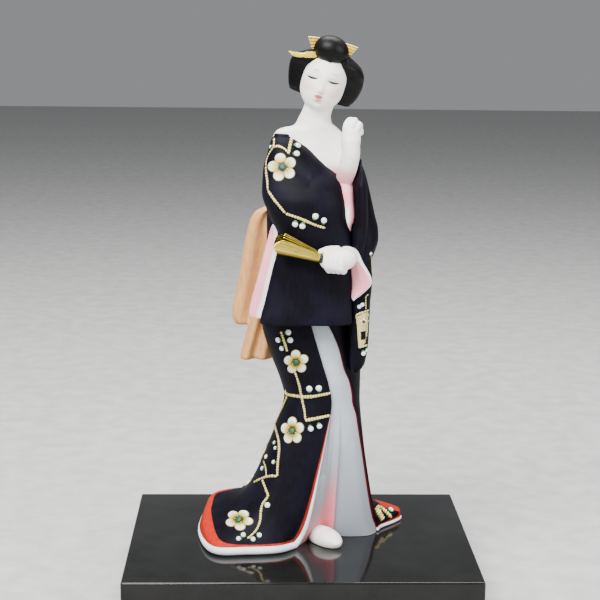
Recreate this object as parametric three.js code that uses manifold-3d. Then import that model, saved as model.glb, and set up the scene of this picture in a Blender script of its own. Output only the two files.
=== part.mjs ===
// A Hakata doll: a painted clay woman in a dark kimono with a long train, on a black lacquered plinth.
// Millimetres, +Z up, the doll faces -Y, and the origin is the centre of the plinth's underside.
import * as THREE from "three";
import { mergeVertices } from "three/addons/utils/BufferGeometryUtils.js";
import Module from "manifold-3d";

const wasm = await Module();
wasm.setup();

// Driving sizes
const plinthLength = 270;
const plinthDepth = 200;
const plinthHeight = 45;
const plinthEdge = 1.6; // radius of the lacquered edges
const figureHeight = 394; // from the plinth's top to the crown of the hair
const fanLength = 39; // from the end inside the fist to the open end
const fanMouthWidth = 13; // height of the leaves at the open end
const fanPivotWidth = 7.5;
const fanThickness = 7;
const ribbonSpan = 40; // from tip to tip of the two flares
const ribbonFlare = 8.5; // height of a flare's end
const ribbonThickness = 1.4;
const pinLength = 32;
const pinWidth = 4.6;
const pinThickness = 1.5;
const gap = 0.3; // between two pieces that touch

// The carving below is written for a doll of this height and keeps its proportions at any other
const carvedHeight = 394;
const share = figureHeight / carvedHeight;

// Helpers for numbers

const degrees = (a) => (a * Math.PI) / 180;
const lerp = (a, b, t) => a + (b - a) * t;
const clamp = (x, low, high) => Math.min(high, Math.max(low, x));
const steps = (n) => Array.from({ length: n + 1 }, (_, i) => i / n);
const bump = (x, centre, width) => Math.exp(-(((x - centre) / width) ** 2));

// Smooth curve through [position, value] pairs, level beyond its ends
function profile(...pairs) {
  const slope = (i) => {
    const [a, b, c] = [pairs[i - 1], pairs[i], pairs[i + 1]];
    if (!a || !c) return 0;
    const left = (b[1] - a[1]) / (b[0] - a[0]);
    const right = (c[1] - b[1]) / (c[0] - b[0]);
    return left * right <= 0 ? 0 : (2 * left * right) / (left + right);
  };
  return (t) => {
    const at = clamp(t, pairs[0][0], pairs.at(-1)[0]);
    const i = Math.max(1, pairs.findIndex((p) => p[0] >= at));
    const [a, b] = [pairs[i - 1], pairs[i]];
    const span = b[0] - a[0];
    const s = (at - a[0]) / span;
    const rise = b[1] - a[1];
    const bend = (slope(i - 1) * span - rise) * (1 - s) - (slope(i) * span - rise) * s;
    return a[1] + rise * s + s * (1 - s) * bend;
  };
}

// Smooth curve through evenly spaced values, t from 0 to 1
function through(values, t) {
  const last = values.length - 1;
  const at = clamp(t, 0, 1) * last;
  const i = Math.min(last - 1, Math.floor(at));
  const [a, b, c, d] = [i - 1, i, i + 1, i + 2].map((k) => values[clamp(k, 0, last)]);
  const s = at - i;
  return b + 0.5 * s * (c - a + s * (2 * a - 5 * b + 4 * c - d + s * (3 * (b - c) + d - a)));
}

// Helpers for solids

// A manifold solid from points and triangles, turned so that its faces point out
function solidFrom(points, triangles) {
  const flat = new Float32Array(points.flatMap((p) => [p.x, p.y, p.z]));
  const loose = new THREE.BufferGeometry();
  loose.setAttribute("position", new THREE.BufferAttribute(flat, 3));
  loose.setIndex(triangles.flat());
  return solidOf(loose);
}

function solidOf(geometry) {
  const bare = new THREE.BufferGeometry();
  bare.setAttribute("position", geometry.getAttribute("position"));
  bare.setIndex(geometry.index);
  const merged = mergeVertices(bare, 1e-4);
  const corners = [];
  for (let i = 0; i < merged.index.count; i += 3) {
    const [a, b, c] = [0, 1, 2].map((k) => merged.index.getX(i + k));
    if (a !== b && b !== c && c !== a) corners.push(a, b, c);
  }
  const build = (triVerts) =>
    new wasm.Manifold(
      new wasm.Mesh({
        numProp: 3,
        vertProperties: merged.attributes.position.array,
        triVerts: new Uint32Array(triVerts),
      }),
    );
  const made = build(corners);
  if (made.volume() > 0) return made;
  for (let i = 0; i < corners.length; i += 3)
    [corners[i + 1], corners[i + 2]] = [corners[i + 2], corners[i + 1]];
  return build(corners);
}

// A closed solid from rings stacked one above another, each ring going once round
function ringSolid(ringAt, rows, columns) {
  const rings = rows.map((v) => steps(columns).slice(0, -1).map((u) => ringAt(u, v)));
  const points = rings.flat();
  const triangles = [];
  for (let j = 0; j < rings.length - 1; j++)
    for (let i = 0; i < columns; i++) {
      const [a, b] = [j * columns + i, j * columns + ((i + 1) % columns)];
      triangles.push([a, b, b + columns], [a, b + columns, a + columns]);
    }
  const cap = (ring, first, way) => {
    const outline = ring.map((p) => new THREE.Vector2(p.x, p.y));
    const { area } = THREE.ShapeUtils;
    for (const [a, b, c] of THREE.ShapeUtils.triangulateShape(outline, [])) {
      const along = area([outline[a], outline[b], outline[c]]) * area(outline) * way > 0;
      triangles.push(along ? [first + a, first + b, first + c] : [first + a, first + c, first + b]);
    }
  };
  cap(rings[0], 0, -1);
  cap(rings.at(-1), (rings.length - 1) * columns, 1);
  return solidFrom(points, triangles);
}

// A closed solid between an outer and an inner sheet, each a function of u and v
function sheetSolid(outer, inner, columns, rows) {
  const us = steps(columns);
  const width = us.length;
  const points = [outer, inner].flatMap((sheet) => rows.flatMap((v) => us.map((u) => sheet(u, v))));
  const back = rows.length * width;
  const triangles = [];
  const quad = (a, b, c, d) => triangles.push([a, b, c], [a, c, d]);
  for (let j = 0; j < rows.length - 1; j++)
    for (let i = 0; i < columns; i++) {
      const a = j * width + i;
      quad(a, a + 1, a + width + 1, a + width);
      quad(back + a, back + a + width, back + a + width + 1, back + a + 1);
    }
  for (let i = 0; i < columns; i++) {
    const top = (rows.length - 1) * width + i;
    quad(i + 1, i, back + i, back + i + 1);
    quad(top, top + 1, back + top + 1, back + top);
  }
  for (let j = 0; j < rows.length - 1; j++) {
    const [first, last] = [j * width, j * width + columns];
    quad(first, first + width, back + first + width, back + first);
    quad(last + width, last, back + last, back + last + width);
  }
  return solidFrom(points, triangles);
}

// A round bar along a smooth path: each stop has a place and a radius, and the ends are domed
function limb(stops, sides, along) {
  const at = (key) => (t) => through(stops.map((s) => s[key]), t);
  const [x, y, z, r] = ["x", "y", "z", "r"].map(at);
  const centre = (t) => new THREE.Vector3(x(t), y(t), z(t));
  const points = [];
  const triangles = [];
  const side = new THREE.Vector3(1, 0, 0);
  const dome = sides > 6 ? [0.3, 0.85] : [0.62];
  const rows = [
    ...dome.map((d) => ({ t: 0, swell: d, push: -Math.sqrt(1 - d * d) })),
    ...steps(along).map((t) => ({ t, swell: 1, push: 0 })),
    ...dome.toReversed().map((d) => ({ t: 1, swell: d, push: Math.sqrt(1 - d * d) })),
  ];
  for (const { t, swell, push } of rows) {
    const ahead = centre(Math.min(1, t + 0.02)).sub(centre(Math.max(0, t - 0.02))).normalize();
    side.addScaledVector(ahead, -side.dot(ahead)).normalize();
    const up = new THREE.Vector3().crossVectors(ahead, side);
    for (const u of steps(sides).slice(0, -1)) {
      const turn = 2 * Math.PI * u;
      const p = centre(t).addScaledVector(ahead, push * r(t));
      p.addScaledVector(side, Math.cos(turn) * r(t) * swell);
      points.push(p.addScaledVector(up, Math.sin(turn) * r(t) * swell));
    }
  }
  for (let j = 0; j < rows.length - 1; j++)
    for (let i = 0; i < sides; i++) {
      const [a, b] = [j * sides + i, j * sides + ((i + 1) % sides)];
      triangles.push([a, b, b + sides], [a, b + sides, a + sides]);
    }
  const end = (rows.length - 1) * sides;
  for (let i = 1; i < sides - 1; i++) triangles.push([0, i + 1, i], [end, end + i, end + i + 1]);
  return solidFrom(points, triangles);
}

// A ball stretched to three radii, whose points a function may then move
function ball(radii, columns, rows, place, shape = (p) => p) {
  const geometry = new THREE.SphereGeometry(1, columns, rows).rotateX(Math.PI / 2);
  const position = geometry.getAttribute("position");
  for (let i = 0; i < position.count; i++) {
    const unit = new THREE.Vector3().fromBufferAttribute(position, i);
    const p = shape(unit.clone().multiply(new THREE.Vector3(...radii)), unit);
    position.setXYZ(i, ...p.applyMatrix4(place));
  }
  return solidOf(geometry);
}

const join = (pieces) => pieces.reduce((all, piece) => all.add(piece));

function meshOf(name, solid, material) {
  const { vertProperties, triVerts } = solid.getMesh();
  const geometry = new THREE.BufferGeometry();
  geometry.setAttribute("position", new THREE.BufferAttribute(vertProperties, 3));
  geometry.setIndex(new THREE.BufferAttribute(triVerts, 1));
  const mesh = new THREE.Mesh(geometry, material);
  mesh.name = name;
  return mesh;
}

// Skirt: it narrows at the knee and spreads like a trumpet to the hem

const kneeHeight = 115;
const hemHeight = 6;
const robeInset = 2.6; // the white under-robe lies this far inside the dark kimono

// Round the dark skirt, from the inner edge of its left front panel by the back to the edge of the right
// one: the hem's place, the bearing at the knee, the straight part of the fall and the height of the flare
const hemStations = [
  { x: -5, y: -30, bearing: 283, straight: 0.82, flare: 9 },
  { x: -20, y: -42, bearing: 266, straight: 0.72, flare: 10 },
  { x: -46, y: -46, bearing: 245, straight: 0.62, flare: 12 },
  { x: -69, y: -44, bearing: 222, straight: 0.56, flare: 13 },
  { x: -80, y: -12, bearing: 197, straight: 0.56, flare: 14 },
  { x: -82.5, y: 24, bearing: 176, straight: 0.56, flare: 14 },
  { x: -75, y: 60, bearing: 152, straight: 0.5, flare: 14 },
  { x: -45, y: 77, bearing: 126, straight: 0.5, flare: 14 },
  { x: -8, y: 78, bearing: 100, straight: 0.55, flare: 14 },
  { x: 30, y: 74, bearing: 74, straight: 0.55, flare: 13 },
  { x: 64, y: 60, bearing: 46, straight: 0.5, flare: 12 },
  { x: 84.5, y: 36, bearing: 20, straight: 0.5, flare: 9 },
  { x: 66, y: 13, bearing: -10, straight: 0.7, flare: 5 },
  { x: 63, y: 8, bearing: -38, straight: 0.78, flare: 4 },
];

// The white under-robe where the kimono opens, from the right panel's edge to the left one's
const openStations = [
  { x: 61, y: 4, bearing: -42, straight: 0.78, flare: 4 },
  { x: 54, y: -3, bearing: -50, straight: 0.8, flare: 4 },
  { x: 40, y: -5, bearing: -59, straight: 0.8, flare: 4 },
  { x: 27, y: -4, bearing: -67, straight: 0.7, flare: 4 },
  { x: 17, y: 3, bearing: -72, straight: 0.6, flare: 9 },
  { x: 6, y: -8, bearing: -76, straight: 0.6, flare: 9 },
];

const skirtLeft = profile([115, -13.7], [126, -16.2], [150, -25.1], [174, -31.5], [200, -30]);
const skirtRight = profile([115, 46.4], [133, 46.5], [160, 48], [200, 42]);
const skirtFront = profile([115, -22], [150, -24], [180, -23], [200, -20]);
const skirtBack = profile([115, 29], [150, 36], [172, 39], [200, 32]);
const leftPanelEdge = profile([115, 23.3], [126, 21.6], [148, 15.2], [179, 5.6], [200, 0]);
const rightPanelEdge = profile([115, 40.1], [129, 37.6], [141, 33.5], [157, 29.4], [169, 24.5], [200, 8]);

const skirtCentre = (z) => new THREE.Vector2((skirtLeft(z) + skirtRight(z)) / 2, 5);

function skirtRing(bearing, z) {
  const c = skirtCentre(z);
  const halfWidth = (skirtRight(z) - skirtLeft(z)) / 2;
  const [cos, sin] = [Math.cos(degrees(bearing)), Math.sin(degrees(bearing))];
  const depth = sin < 0 ? c.y - skirtFront(z) : skirtBack(z) - c.y;
  return new THREE.Vector2(c.x + halfWidth * cos, c.y + depth * sin);
}

// Bearing at which the front of the ring has this x
function bearingOfX(x, z) {
  const c = skirtCentre(z);
  return -Math.acos(clamp((x - c.x) / (skirtRight(z) - c.x), -1, 1)) * (180 / Math.PI);
}

function skirtPoint(stations, t, z, inset) {
  const value = (key) => through(stations.map((s) => s[key]), t);
  const closed = stations === hemStations;
  const moved = (edge) => bearingOfX(edge(z), z) - bearingOfX(edge(kneeHeight), kneeHeight);
  const base = value("bearing");
  const [first, last] = [stations[0].bearing, stations.at(-1).bearing];
  const across = (base - first) / (last - first);
  const nearLeft = closed ? Math.max(0, 1 - 3 * t) ** 1.5 : across;
  const nearRight = closed ? Math.max(0, 3 * t - 2) ** 1.5 : 1 - across;
  const above = z > kneeHeight ? 1 : 0;
  const bearing = base + above * (nearLeft * moved(leftPanelEdge) + nearRight * moved(rightPanelEdge));
  const top = skirtRing(bearing, Math.max(z, kneeHeight));
  const fall = clamp((kneeHeight - z) / kneeHeight, 0, 1);
  const start = 0.08; // the skirt leaves the knee gently
  const ramp = (Math.hypot(fall, start) - start) / (Math.hypot(1, start) - start);
  const straight = value("straight");
  const flare = Math.exp(-Math.max(0, z - hemHeight) / value("flare"));
  const spread = straight * ramp + (1 - straight) * (z < kneeHeight ? flare : 0);
  const centre = skirtCentre(Math.max(z, kneeHeight));
  const inward = (p, by) => p.sub(centre).setLength(p.length() - by).add(centre);
  const folds = 1.3 * spread * Math.sin(26 * t + 0.4) * bump(z, 45, 45);
  const hem = new THREE.Vector2(value("x"), value("y"));
  const at = inward(top, inset).lerp(closed ? inward(hem, inset - folds) : hem, spread);
  return new THREE.Vector3(at.x, at.y, z);
}

const skirtRows = [0, 6, 9, 13, 20, 30, 45, 65, 88, 106, 122, 150, 190];

function kimonoSkirt() {
  const outer = (u, v) => skirtPoint(hemStations, u, v, 0);
  const inner = (u, v) => skirtPoint(hemStations, u, v, 7);
  return sheetSolid(outer, inner, 28, skirtRows);
}

function underRobe() {
  const covered = 0.7; // share of the ring that the dark kimono covers
  const ring = (u, z) =>
    u < covered
      ? skirtPoint(hemStations, u / covered, z, robeInset)
      : skirtPoint(openStations, (u - covered) / (1 - covered), z, robeInset);
  return ringSolid(ring, skirtRows, 36);
}

// The padded roll of the white lining along the hem, which also climbs the two front edges
function hemRoll() {
  const stops = steps(26).map((t) => {
    const p = skirtPoint(hemStations, t, hemHeight, 0.2);
    const tip = Math.min(t, 1 - t);
    return { x: p.x, y: p.y, z: 3.1, r: lerp(2.2, 3.1, clamp(tip * 12, 0, 1)) };
  });
  return limb(stops, 6, 30);
}

// Upper body

// Rings given by their left, right, front and back at each height; power 2 is an ellipse, more is squarer
function stack({ left, right, front, back, power = 2, lean = () => 0 }, rows, columns) {
  const ring = (u, z) => {
    const [cos, sin] = [Math.cos(2 * Math.PI * u), Math.sin(2 * Math.PI * u)];
    const bend = (c) => Math.sign(c) * Math.abs(c) ** (2 / power);
    const [halfX, halfY] = [(right(z) - left(z)) / 2, (back(z) - front(z)) / 2];
    const x = (left(z) + right(z)) / 2 + halfX * bend(cos);
    const y = (front(z) + back(z)) / 2 + halfY * bend(sin) + lean(x, z);
    return new THREE.Vector3(x, y, z);
  };
  return ringSolid(ring, rows, columns);
}

const chestRows = [150, 200, 285, 300, 310, 317, 322, 326, 329, 334, 346];
function chest() {
  return stack(
    {
      left: profile(
        [150, -14], [200, -24], [260, -22], [300, -24], [316, -24.5], [322, -20.5], [326, -14.5],
        [329, -8], [333, -5.4], [339, -2.3], [346, -0.2],
      ),
      right: profile(
        [150, 40], [200, 42], [260, 40], [300, 40], [308, 38], [316, 34], [322, 29], [327, 23.8],
        [330, 20.4], [335, 19.6], [346, 22],
      ),
      front: profile(
        [150, -12], [200, -18], [270, -20], [298, -22], [312, -17], [322, -14.5], [333, -14],
        [346, -17],
      ),
      back: profile([150, 24], [200, 30], [260, 24], [300, 22], [318, 16], [331, 9], [346, 6]),
      power: 2.2,
    },
    chestRows,
    18,
  );
}

// The dark kimono round the back and sides, open on the chest and low at the nape
const bodiceRim = profile(
  [-62, 300], [-20, 304], [30, 305], [90, 303], [150, 311], [190, 318], [222, 319],
);
const bodiceWidth = profile([180, 36.5], [225, 33], [262, 33.5], [290, 34.5], [308, 32.5], [320, 29.5]);
const bodiceBack = profile([180, 33.5], [225, 26], [262, 23], [288, 22.5], [304, 20], [320, 14]);

function bodicePoint(bearing, z, grow) {
  const [cos, sin] = [Math.cos(degrees(bearing)), Math.sin(degrees(bearing))];
  const depth = sin < 0 ? 24 : bodiceBack(z);
  return new THREE.Vector3(7 + (bodiceWidth(z) + grow) * cos, 4 + (depth + grow) * sin, z);
}

function bodice() {
  const at = (grow) => (u, v) => {
    const bearing = lerp(-62, 222, u);
    const z = lerp(180, bodiceRim(bearing), v);
    return bodicePoint(bearing, z, grow(v));
  };
  const round = (v) => (v > 0.97 ? 0.8 : 2);
  return sheetSolid(at(round), at((v) => lerp(-14, -1, v)), 18, [0, 0.35, 0.65, 0.88, 0.97, 1]);
}

// The doll's right sleeve: it covers the breast and hangs in front of the body down to the thighs
const sleeveRows = [181, 184, 200, 220, 236, 249, 258, 270, 282, 292, 300, 308, 316, 323];
function rightSleeve() {
  return stack(
    {
      left: profile(
        [181, -33.2], [198, -29.4], [221, -24.2], [236, -20.8], [249, -20.5], [257, -24.4],
        [264, -27.5], [279, -32.2], [294, -31.5], [309, -27.8], [318, -24.5], [323, -19],
      ),
      right: profile(
        [181, 36.3], [200, 36], [226, 36.3], [251, 34.6], [264, 32.4], [275, 31.6], [284, 30],
        [290, 27], [297.5, 18.7], [305, 10.5], [312, 3], [319, -7], [323, -13],
      ),
      front: profile(
        [181, -42], [205, -40.5], [235, -41.5], [252, -44], [270, -46.5], [282, -43.5], [292, -37],
        [304, -30], [315, -22], [323, -13],
      ),
      back: profile(
        [181, -24], [210, -20], [235, -14], [262, -4], [285, 4], [305, 6], [318, 4], [323, 0],
      ),
      power: 2.5,
    },
    sleeveRows,
    22,
  );
}

// The other side of that sleeve's mouth, round the raised forearm, with the pink lining between the two
function sleeveMouth() {
  const outside = stack(
    {
      left: profile([222, 35], [247, 34.6], [264, 36.4], [283, 36.2], [292, 39.8], [303, 42]),
      right: profile([222, 44], [250, 48], [280, 47], [303, 43.2]),
      front: profile([222, -36], [264, -38], [285, -37], [296, -26], [303, -12]),
      back: profile([222, -4], [303, -2]),
      power: 2.3,
    },
    [222, 250, 270, 284, 294, 303],
    12,
  );
  const lining = stack(
    {
      left: profile([240, 28], [284, 26], [292, 20], [301, 12]),
      right: profile([240, 38], [283, 38], [301, 37]),
      front: profile([240, -38], [262, -39.5], [283, -38], [294, -33], [301, -27]),
      back: profile([240, -10], [301, -6]),
      power: 2.4,
    },
    [240, 262, 283, 292, 301],
    12,
  );
  return outside.add(lining);
}

// The same sleeve's open back edge, whose pink lining shows beside the dark front
function sleeveLining() {
  return stack(
    {
      left: profile(
        [181, -41], [183, -41.7], [189, -40.9], [212, -34.9], [236, -28.8], [248, -25.8],
        [256, -23.5],
      ),
      right: profile([181, 30], [256, 22]),
      front: profile([181, -17], [256, -14]),
      back: profile([181, 1], [256, 2]),
      power: 3,
    },
    [181, 184, 212, 236, 256],
    12,
  );
}

// The doll's left sleeve: from the shoulder to the elbow, and hanging from the forearm
function leftSleeve() {
  const arm = stack(
    {
      left: profile([222, 28], [260, 30], [300, 24], [307, 26]),
      right: profile(
        [222, 52], [228, 55], [233, 58], [240, 59], [247, 58.2], [256, 55.8], [275, 51.5],
        [294, 46], [303, 41], [307, 36],
      ),
      front: profile([222, -30], [240, -30], [262, -18], [290, -14], [303, -9], [307, -3]),
      back: profile([222, 10], [245, 17], [270, 17], [300, 14], [307, 8]),
      power: 2.3,
    },
    [222, 228, 234, 241, 250, 262, 280, 294, 303, 307],
    14,
  );
  const hanging = stack(
    {
      left: profile([135, 39], [137, 37], [150, 35.5], [200, 34], [228, 34]),
      right: profile(
        [135, 45], [137, 48], [143, 50.5], [165, 52.5], [193, 52.7], [212, 54], [222, 53],
        [228, 53],
      ),
      front: profile([135, -21], [137, -25], [145, -27], [180, -30], [205, -31], [228, -28]),
      back: profile([135, 2], [137, 7], [150, 10], [200, 12], [228, 12]),
      power: 3,
    },
    [135, 137.5, 146, 165, 193, 212, 228],
    14,
  );
  const forearm = limb(
    [
      { x: 50, y: -6, z: 241, r: 11 },
      { x: 47, y: -20, z: 236, r: 10.5 },
      { x: 43, y: -32, z: 232, r: 9 },
    ],
    12,
    3,
  );
  return join([arm, hanging, forearm]);
}

// The open cuff at the left wrist: a leaf-shaped mouth that hangs below the hand
function leftCuff() {
  const edge = profile([197, 36.5], [202, 43], [207, 49.5], [212, 51.5], [217, 50], [225, 45], [232, 42]);
  const at = (y) => (u, v) => {
    const z = lerp(197, 232, v);
    return new THREE.Vector3(lerp(35, edge(z), u), y - 3 * Math.sin(Math.PI * u), z);
  };
  return sheetSolid(at(-34), at(-24), 4, steps(6));
}

// Obi: a band round the waist, a knot and two hanging ends at the back

function obi() {
  const knot = ball([30, 14, 17], 14, 8, new THREE.Matrix4().makeTranslation(-3, 31, 248), (p, unit) => {
    p.z += 3 * unit.x * unit.x;
    p.y *= 1 - 0.2 * bump(unit.z, 0.1, 0.35);
    return p;
  });
  // One end of the bow: left and right edges at each height, with soft lengthwise folds
  const flap = ({ left, right, bottom, top, depth, thickness, slope }) => {
    const at = (side) => (u, v) => {
      const z = lerp(bottom, top, v);
      const fold = 1.8 * Math.sin(Math.PI * 3 * u) * (1 - 0.5 * v);
      const round = side * thickness * 0.5 * Math.sqrt(Math.max(0, 1 - (2 * u - 1) ** 4));
      return new THREE.Vector3(lerp(left(z), right(z), u), depth + slope * (top - z) + fold + round, z);
    };
    return sheetSolid(at(-1), at(1), 7, [0, 0.08, 0.35, 0.65, 0.9, 1]);
  };
  const left = flap({
    left: profile(
      [166, -53], [172, -55.3], [176, -55.5], [194, -52.3], [226, -46.8], [251, -41.4], [258, -37],
      [263, -29],
    ),
    right: profile([166, 0], [210, 4], [263, 4]),
    bottom: 166,
    top: 263,
    depth: 28,
    thickness: 15,
    slope: 0.04,
  });
  const tail = flap({
    left: profile([139, -49], [157, -45], [176, -40], [230, -28]),
    right: profile([139, -22.5], [153, -20], [170, -16], [230, -6]),
    bottom: 139,
    top: 230,
    depth: 24,
    thickness: 10,
    slope: -0.01,
  });
  const right = flap({
    left: profile([158, 4], [220, -2], [260, -4]),
    right: profile([158, 44], [200, 39], [240, 31], [260, 22]),
    bottom: 158,
    top: 260,
    depth: 31,
    thickness: 15,
    slope: 0.05,
  });
  const band = stack(
    {
      left: profile([184, -28], [262, -24.5]),
      right: profile([184, 42], [262, 43]),
      front: profile([184, -20], [262, -22]),
      back: profile([184, 36], [262, 28.5]),
      power: 2.2,
    },
    [184, 205, 262],
    20,
  );
  return join([knot, left, tail, right, band]);
}

// Head: the face looks to the front, tilted to the viewer's right at the crown

const headTilt = degrees(16.9);
const headTurn = degrees(-4);
const headNod = degrees(7);
const headCentre = [13.6, -7, 363.5]; // at the height of the eyes
const headTurned = new THREE.Matrix4()
  .makeRotationY(headTilt)
  .multiply(new THREE.Matrix4().makeRotationZ(headTurn))
  .multiply(new THREE.Matrix4().makeRotationX(headNod));
const headPlace = new THREE.Matrix4().makeTranslation(...headCentre).multiply(headTurned);

// The face is an egg, with the relief of each feature added towards the front
function faceShape(p, unit) {
  const jaw = p.z < 0 ? 0.1 * bump(p.z, -11, 7) - 0.22 * (p.z / 22) ** 4 : -0.1 * (p.z / 23) ** 2;
  p.x *= 1 + jaw;
  if (unit.y < 0) {
    const x = Math.abs(p.x);
    const relief =
      2.1 * bump(x, 0, 2.1) * bump(p.z, -7.6, 3.4) +
      1.1 * bump(x, 0, 1.8) * bump(p.z, -1, 5) -
      1.0 * bump(x, 6.4, 4.2) * bump(p.z, -0.5, 3.4) +
      0.7 * bump(x, 7, 5) * bump(p.z, 5.5, 3) +
      0.9 * bump(x, 9, 5) * bump(p.z, -9, 6) +
      1.0 * bump(x, 0, 2.6) * bump(p.z, -12.8, 1.8) +
      0.8 * bump(x, 0, 2.2) * bump(p.z, -15.6, 1.5) -
      0.8 * bump(x, 0, 3) * bump(p.z, -17.4, 1.2) +
      1.2 * bump(x, 0, 4) * bump(p.z, -20.5, 2.6);
    p.y -= relief * Math.min(1, -unit.y * 2);
  }
  return p;
}

function headPiece(radii, place, columns, rows, shape) {
  const at = headPlace.clone().multiply(new THREE.Matrix4().makeTranslation(...place));
  return ball(radii, columns, rows, at, shape);
}

const headBall = () => headPiece([16.8, 19.5, 22.6], [0, 0, 0], 24, 18, faceShape);

// Hair: wings beside the cheeks in one mass with the sides, a puff over the brow, a droop at the nape
// and a topknot
function hair() {
  const across = {
    left: profile(
      [-15.6, -20.5], [-14, -23], [-11, -24.8], [-2.4, -27.4], [4, -28.2], [7.5, -27.6], [12, -24],
      [16, -18], [20, -11], [22.5, -6],
    ),
    right: profile(
      [-15.6, 21], [-14, 25], [-12, 26.8], [-6.7, 29.1], [0, 30.1], [7.5, 29.3], [14, 25.5],
      [17.3, 20.5], [20.8, 12.4], [22.5, 7],
    ),
    front: profile([-15.6, -2], [-12, -4.5], [-3, -5], [5, -6], [9, -8.5], [14, -10.5], [22.5, -5]),
    back: profile([-15.6, 12], [-8, 20], [4, 22.5], [14, 20], [22.5, 12]),
    power: 2.7,
  };
  const rows = [-15.6, -13.8, -10, -3, 4, 9, 13.5, 17.5, 22.5];
  const jaw = ball([13.5, 24, 13], 14, 8, new THREE.Matrix4().makeTranslation(0, -8, -19));
  const mass = stack(across, rows, 20).subtract(jaw).transform(headPlace.elements);
  const puff = headPiece([12.8, 10.5, 9], [-1, -7.5, 21.6], 14, 9);
  const nape = headPiece([15, 12, 15.5], [0, 13, -6], 10, 7, (p, unit) => {
    p.y += 4.5 * Math.max(0, -unit.z) * Math.max(0, unit.y);
    return p;
  });
  const topknot = headPiece([15.5, 12, 8.6], [0, 12.5, 22], 12, 7, (p, unit) => {
    p.z -= 2.2 * bump(unit.x, 0, 0.35);
    return p;
  });
  return join([mass, puff, nape, topknot]);
}

// Hands

const finger = (stops, r) => limb(stops.map(([x, y, z, thick = 1]) => ({ x, y, z, r: r * thick })), 5, 3);

function raisedHand() {
  const forearm = limb(
    [
      { x: 31, y: -20, z: 250, r: 9 },
      { x: 32, y: -29, z: 275, r: 8.4 },
      { x: 33, y: -34, z: 295, r: 7.6 },
      { x: 33.2, y: -35.5, z: 309, r: 6.9 },
      { x: 33, y: -35.5, z: 318, r: 6.7 },
    ],
    12,
    6,
  );
  const palm = ball([7.4, 5, 11], 12, 7, new THREE.Matrix4().makeTranslation(33, -35.5, 320));
  const hollow = ball([6, 7, 9], 8, 6, new THREE.Matrix4().makeTranslation(33, -31, 324));
  const fingers = [
    finger([[29.6, -35.8, 323], [30.4, -35.2, 330], [32.6, -32, 333.2], [34, -28, 332]], 3.3),
    finger([[32.8, -36.2, 324], [34, -35.2, 331.2], [35.6, -31.6, 333.4], [36.6, -27.8, 331.4]], 3),
    finger([[35.6, -36, 323], [37.2, -35, 328.4], [38.8, -31.4, 330.6], [39.6, -28, 328.8]], 2.9),
    finger([[36.8, -35.2, 319], [38.2, -34.2, 324], [39.8, -31, 326.6], [40.4, -28.4, 325]], 2.6),
    finger([[28.8, -33, 314], [28.6, -28.5, 319], [30.4, -25.5, 324], [32.4, -25, 328]], 2.6),
  ];
  return join([forearm, palm, hollow, ...fingers]);
}

function fanHand() {
  const wrist = limb(
    [
      { x: 45, y: -26, z: 231, r: 6.2 },
      { x: 39, y: -36, z: 235, r: 6.4 },
      { x: 33, y: -42, z: 236, r: 6.6 },
    ],
    10,
    3,
  );
  const palm = ball([12, 8.4, 8.8], 12, 8, new THREE.Matrix4().makeTranslation(26, -46.5, 232.5));
  const grip = [0, 1, 2, 3].map((i) =>
    finger(
      [
        [20 + 3.5 * i, -44, 239 - 0.6 * i],
        [16.4 + 3.5 * i, -51.8, 236.5 - 0.8 * i],
        [15.8 + 3.5 * i, -53.4, 229.5 - 0.8 * i],
        [17.8 + 3.5 * i, -49, 225.2 - 0.3 * i],
      ],
      2.9,
    ),
  );
  const thumb = finger([[24, -44, 240], [17, -47, 240], [11.5, -49.5, 238.8, 0.85]], 2.4);
  const fist = ball([10.5, 6.4, 7.6], 8, 6, new THREE.Matrix4().makeTranslation(21, -49, 231.6));
  return join([wrist, palm, fist, ...grip, thumb]);
}

// The left foot in its split-toed sock
function foot() {
  const turn = new THREE.Matrix4().makeRotationZ(degrees(24));
  const place = new THREE.Matrix4().makeTranslation(19.5, -13, 4).multiply(turn);
  return ball([11, 24, 10], 14, 8, place, (p, unit) => {
    const toe = clamp(-unit.y, 0, 1);
    p.z = p.z > 0 ? p.z * (1 - 0.25 * toe * toe) : Math.max(p.z, -4);
    p.z -= 0.9 * bump(p.x, -1.5, 1.4) * toe * (p.z > 0 ? 1 : 0);
    return p;
  });
}

// Fan and hair ornaments: their places follow the doll's height, their sizes are their own;
// grow makes the room that the clay leaves for them

const scaled = (place) => place.map((c) => c * share);
const onHead = (place) =>
  new THREE.Matrix4()
    .makeTranslation(...scaled(headCentre))
    .multiply(headTurned)
    .multiply(new THREE.Matrix4().makeTranslation(...scaled(place)));

const fanPivot = [15.5, -50, 231.8];
const fanSlope = degrees(10.5);

function folding(grow) {
  const leaves = 4;
  const parts = Array.from({ length: leaves }, (_, i) => {
    const spread = degrees(-2.4 + 2.6 * i);
    const outline = new THREE.Shape();
    const [half, end] = [fanPivotWidth / 2, fanMouthWidth / 2];
    outline.moveTo(0, -half - grow);
    outline.lineTo(0, half + grow);
    outline.lineTo(-fanLength + 3, end + grow);
    outline.lineTo(-fanLength - grow, end * 0.45 + grow);
    outline.lineTo(-fanLength - grow, -end * 0.35 - grow);
    outline.lineTo(-fanLength + 3.5, -end - grow);
    const thick = fanThickness / leaves;
    const plate = new THREE.ExtrudeGeometry(outline, { depth: thick + 2 * grow, bevelEnabled: false });
    plate.translate(0, 0, -fanThickness / 2 + i * thick - grow);
    plate.rotateX(Math.PI / 2).rotateY(spread);
    plate.rotateY(fanSlope).translate(...scaled(fanPivot));
    return solidOf(plate);
  });
  return join(parts);
}

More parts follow.
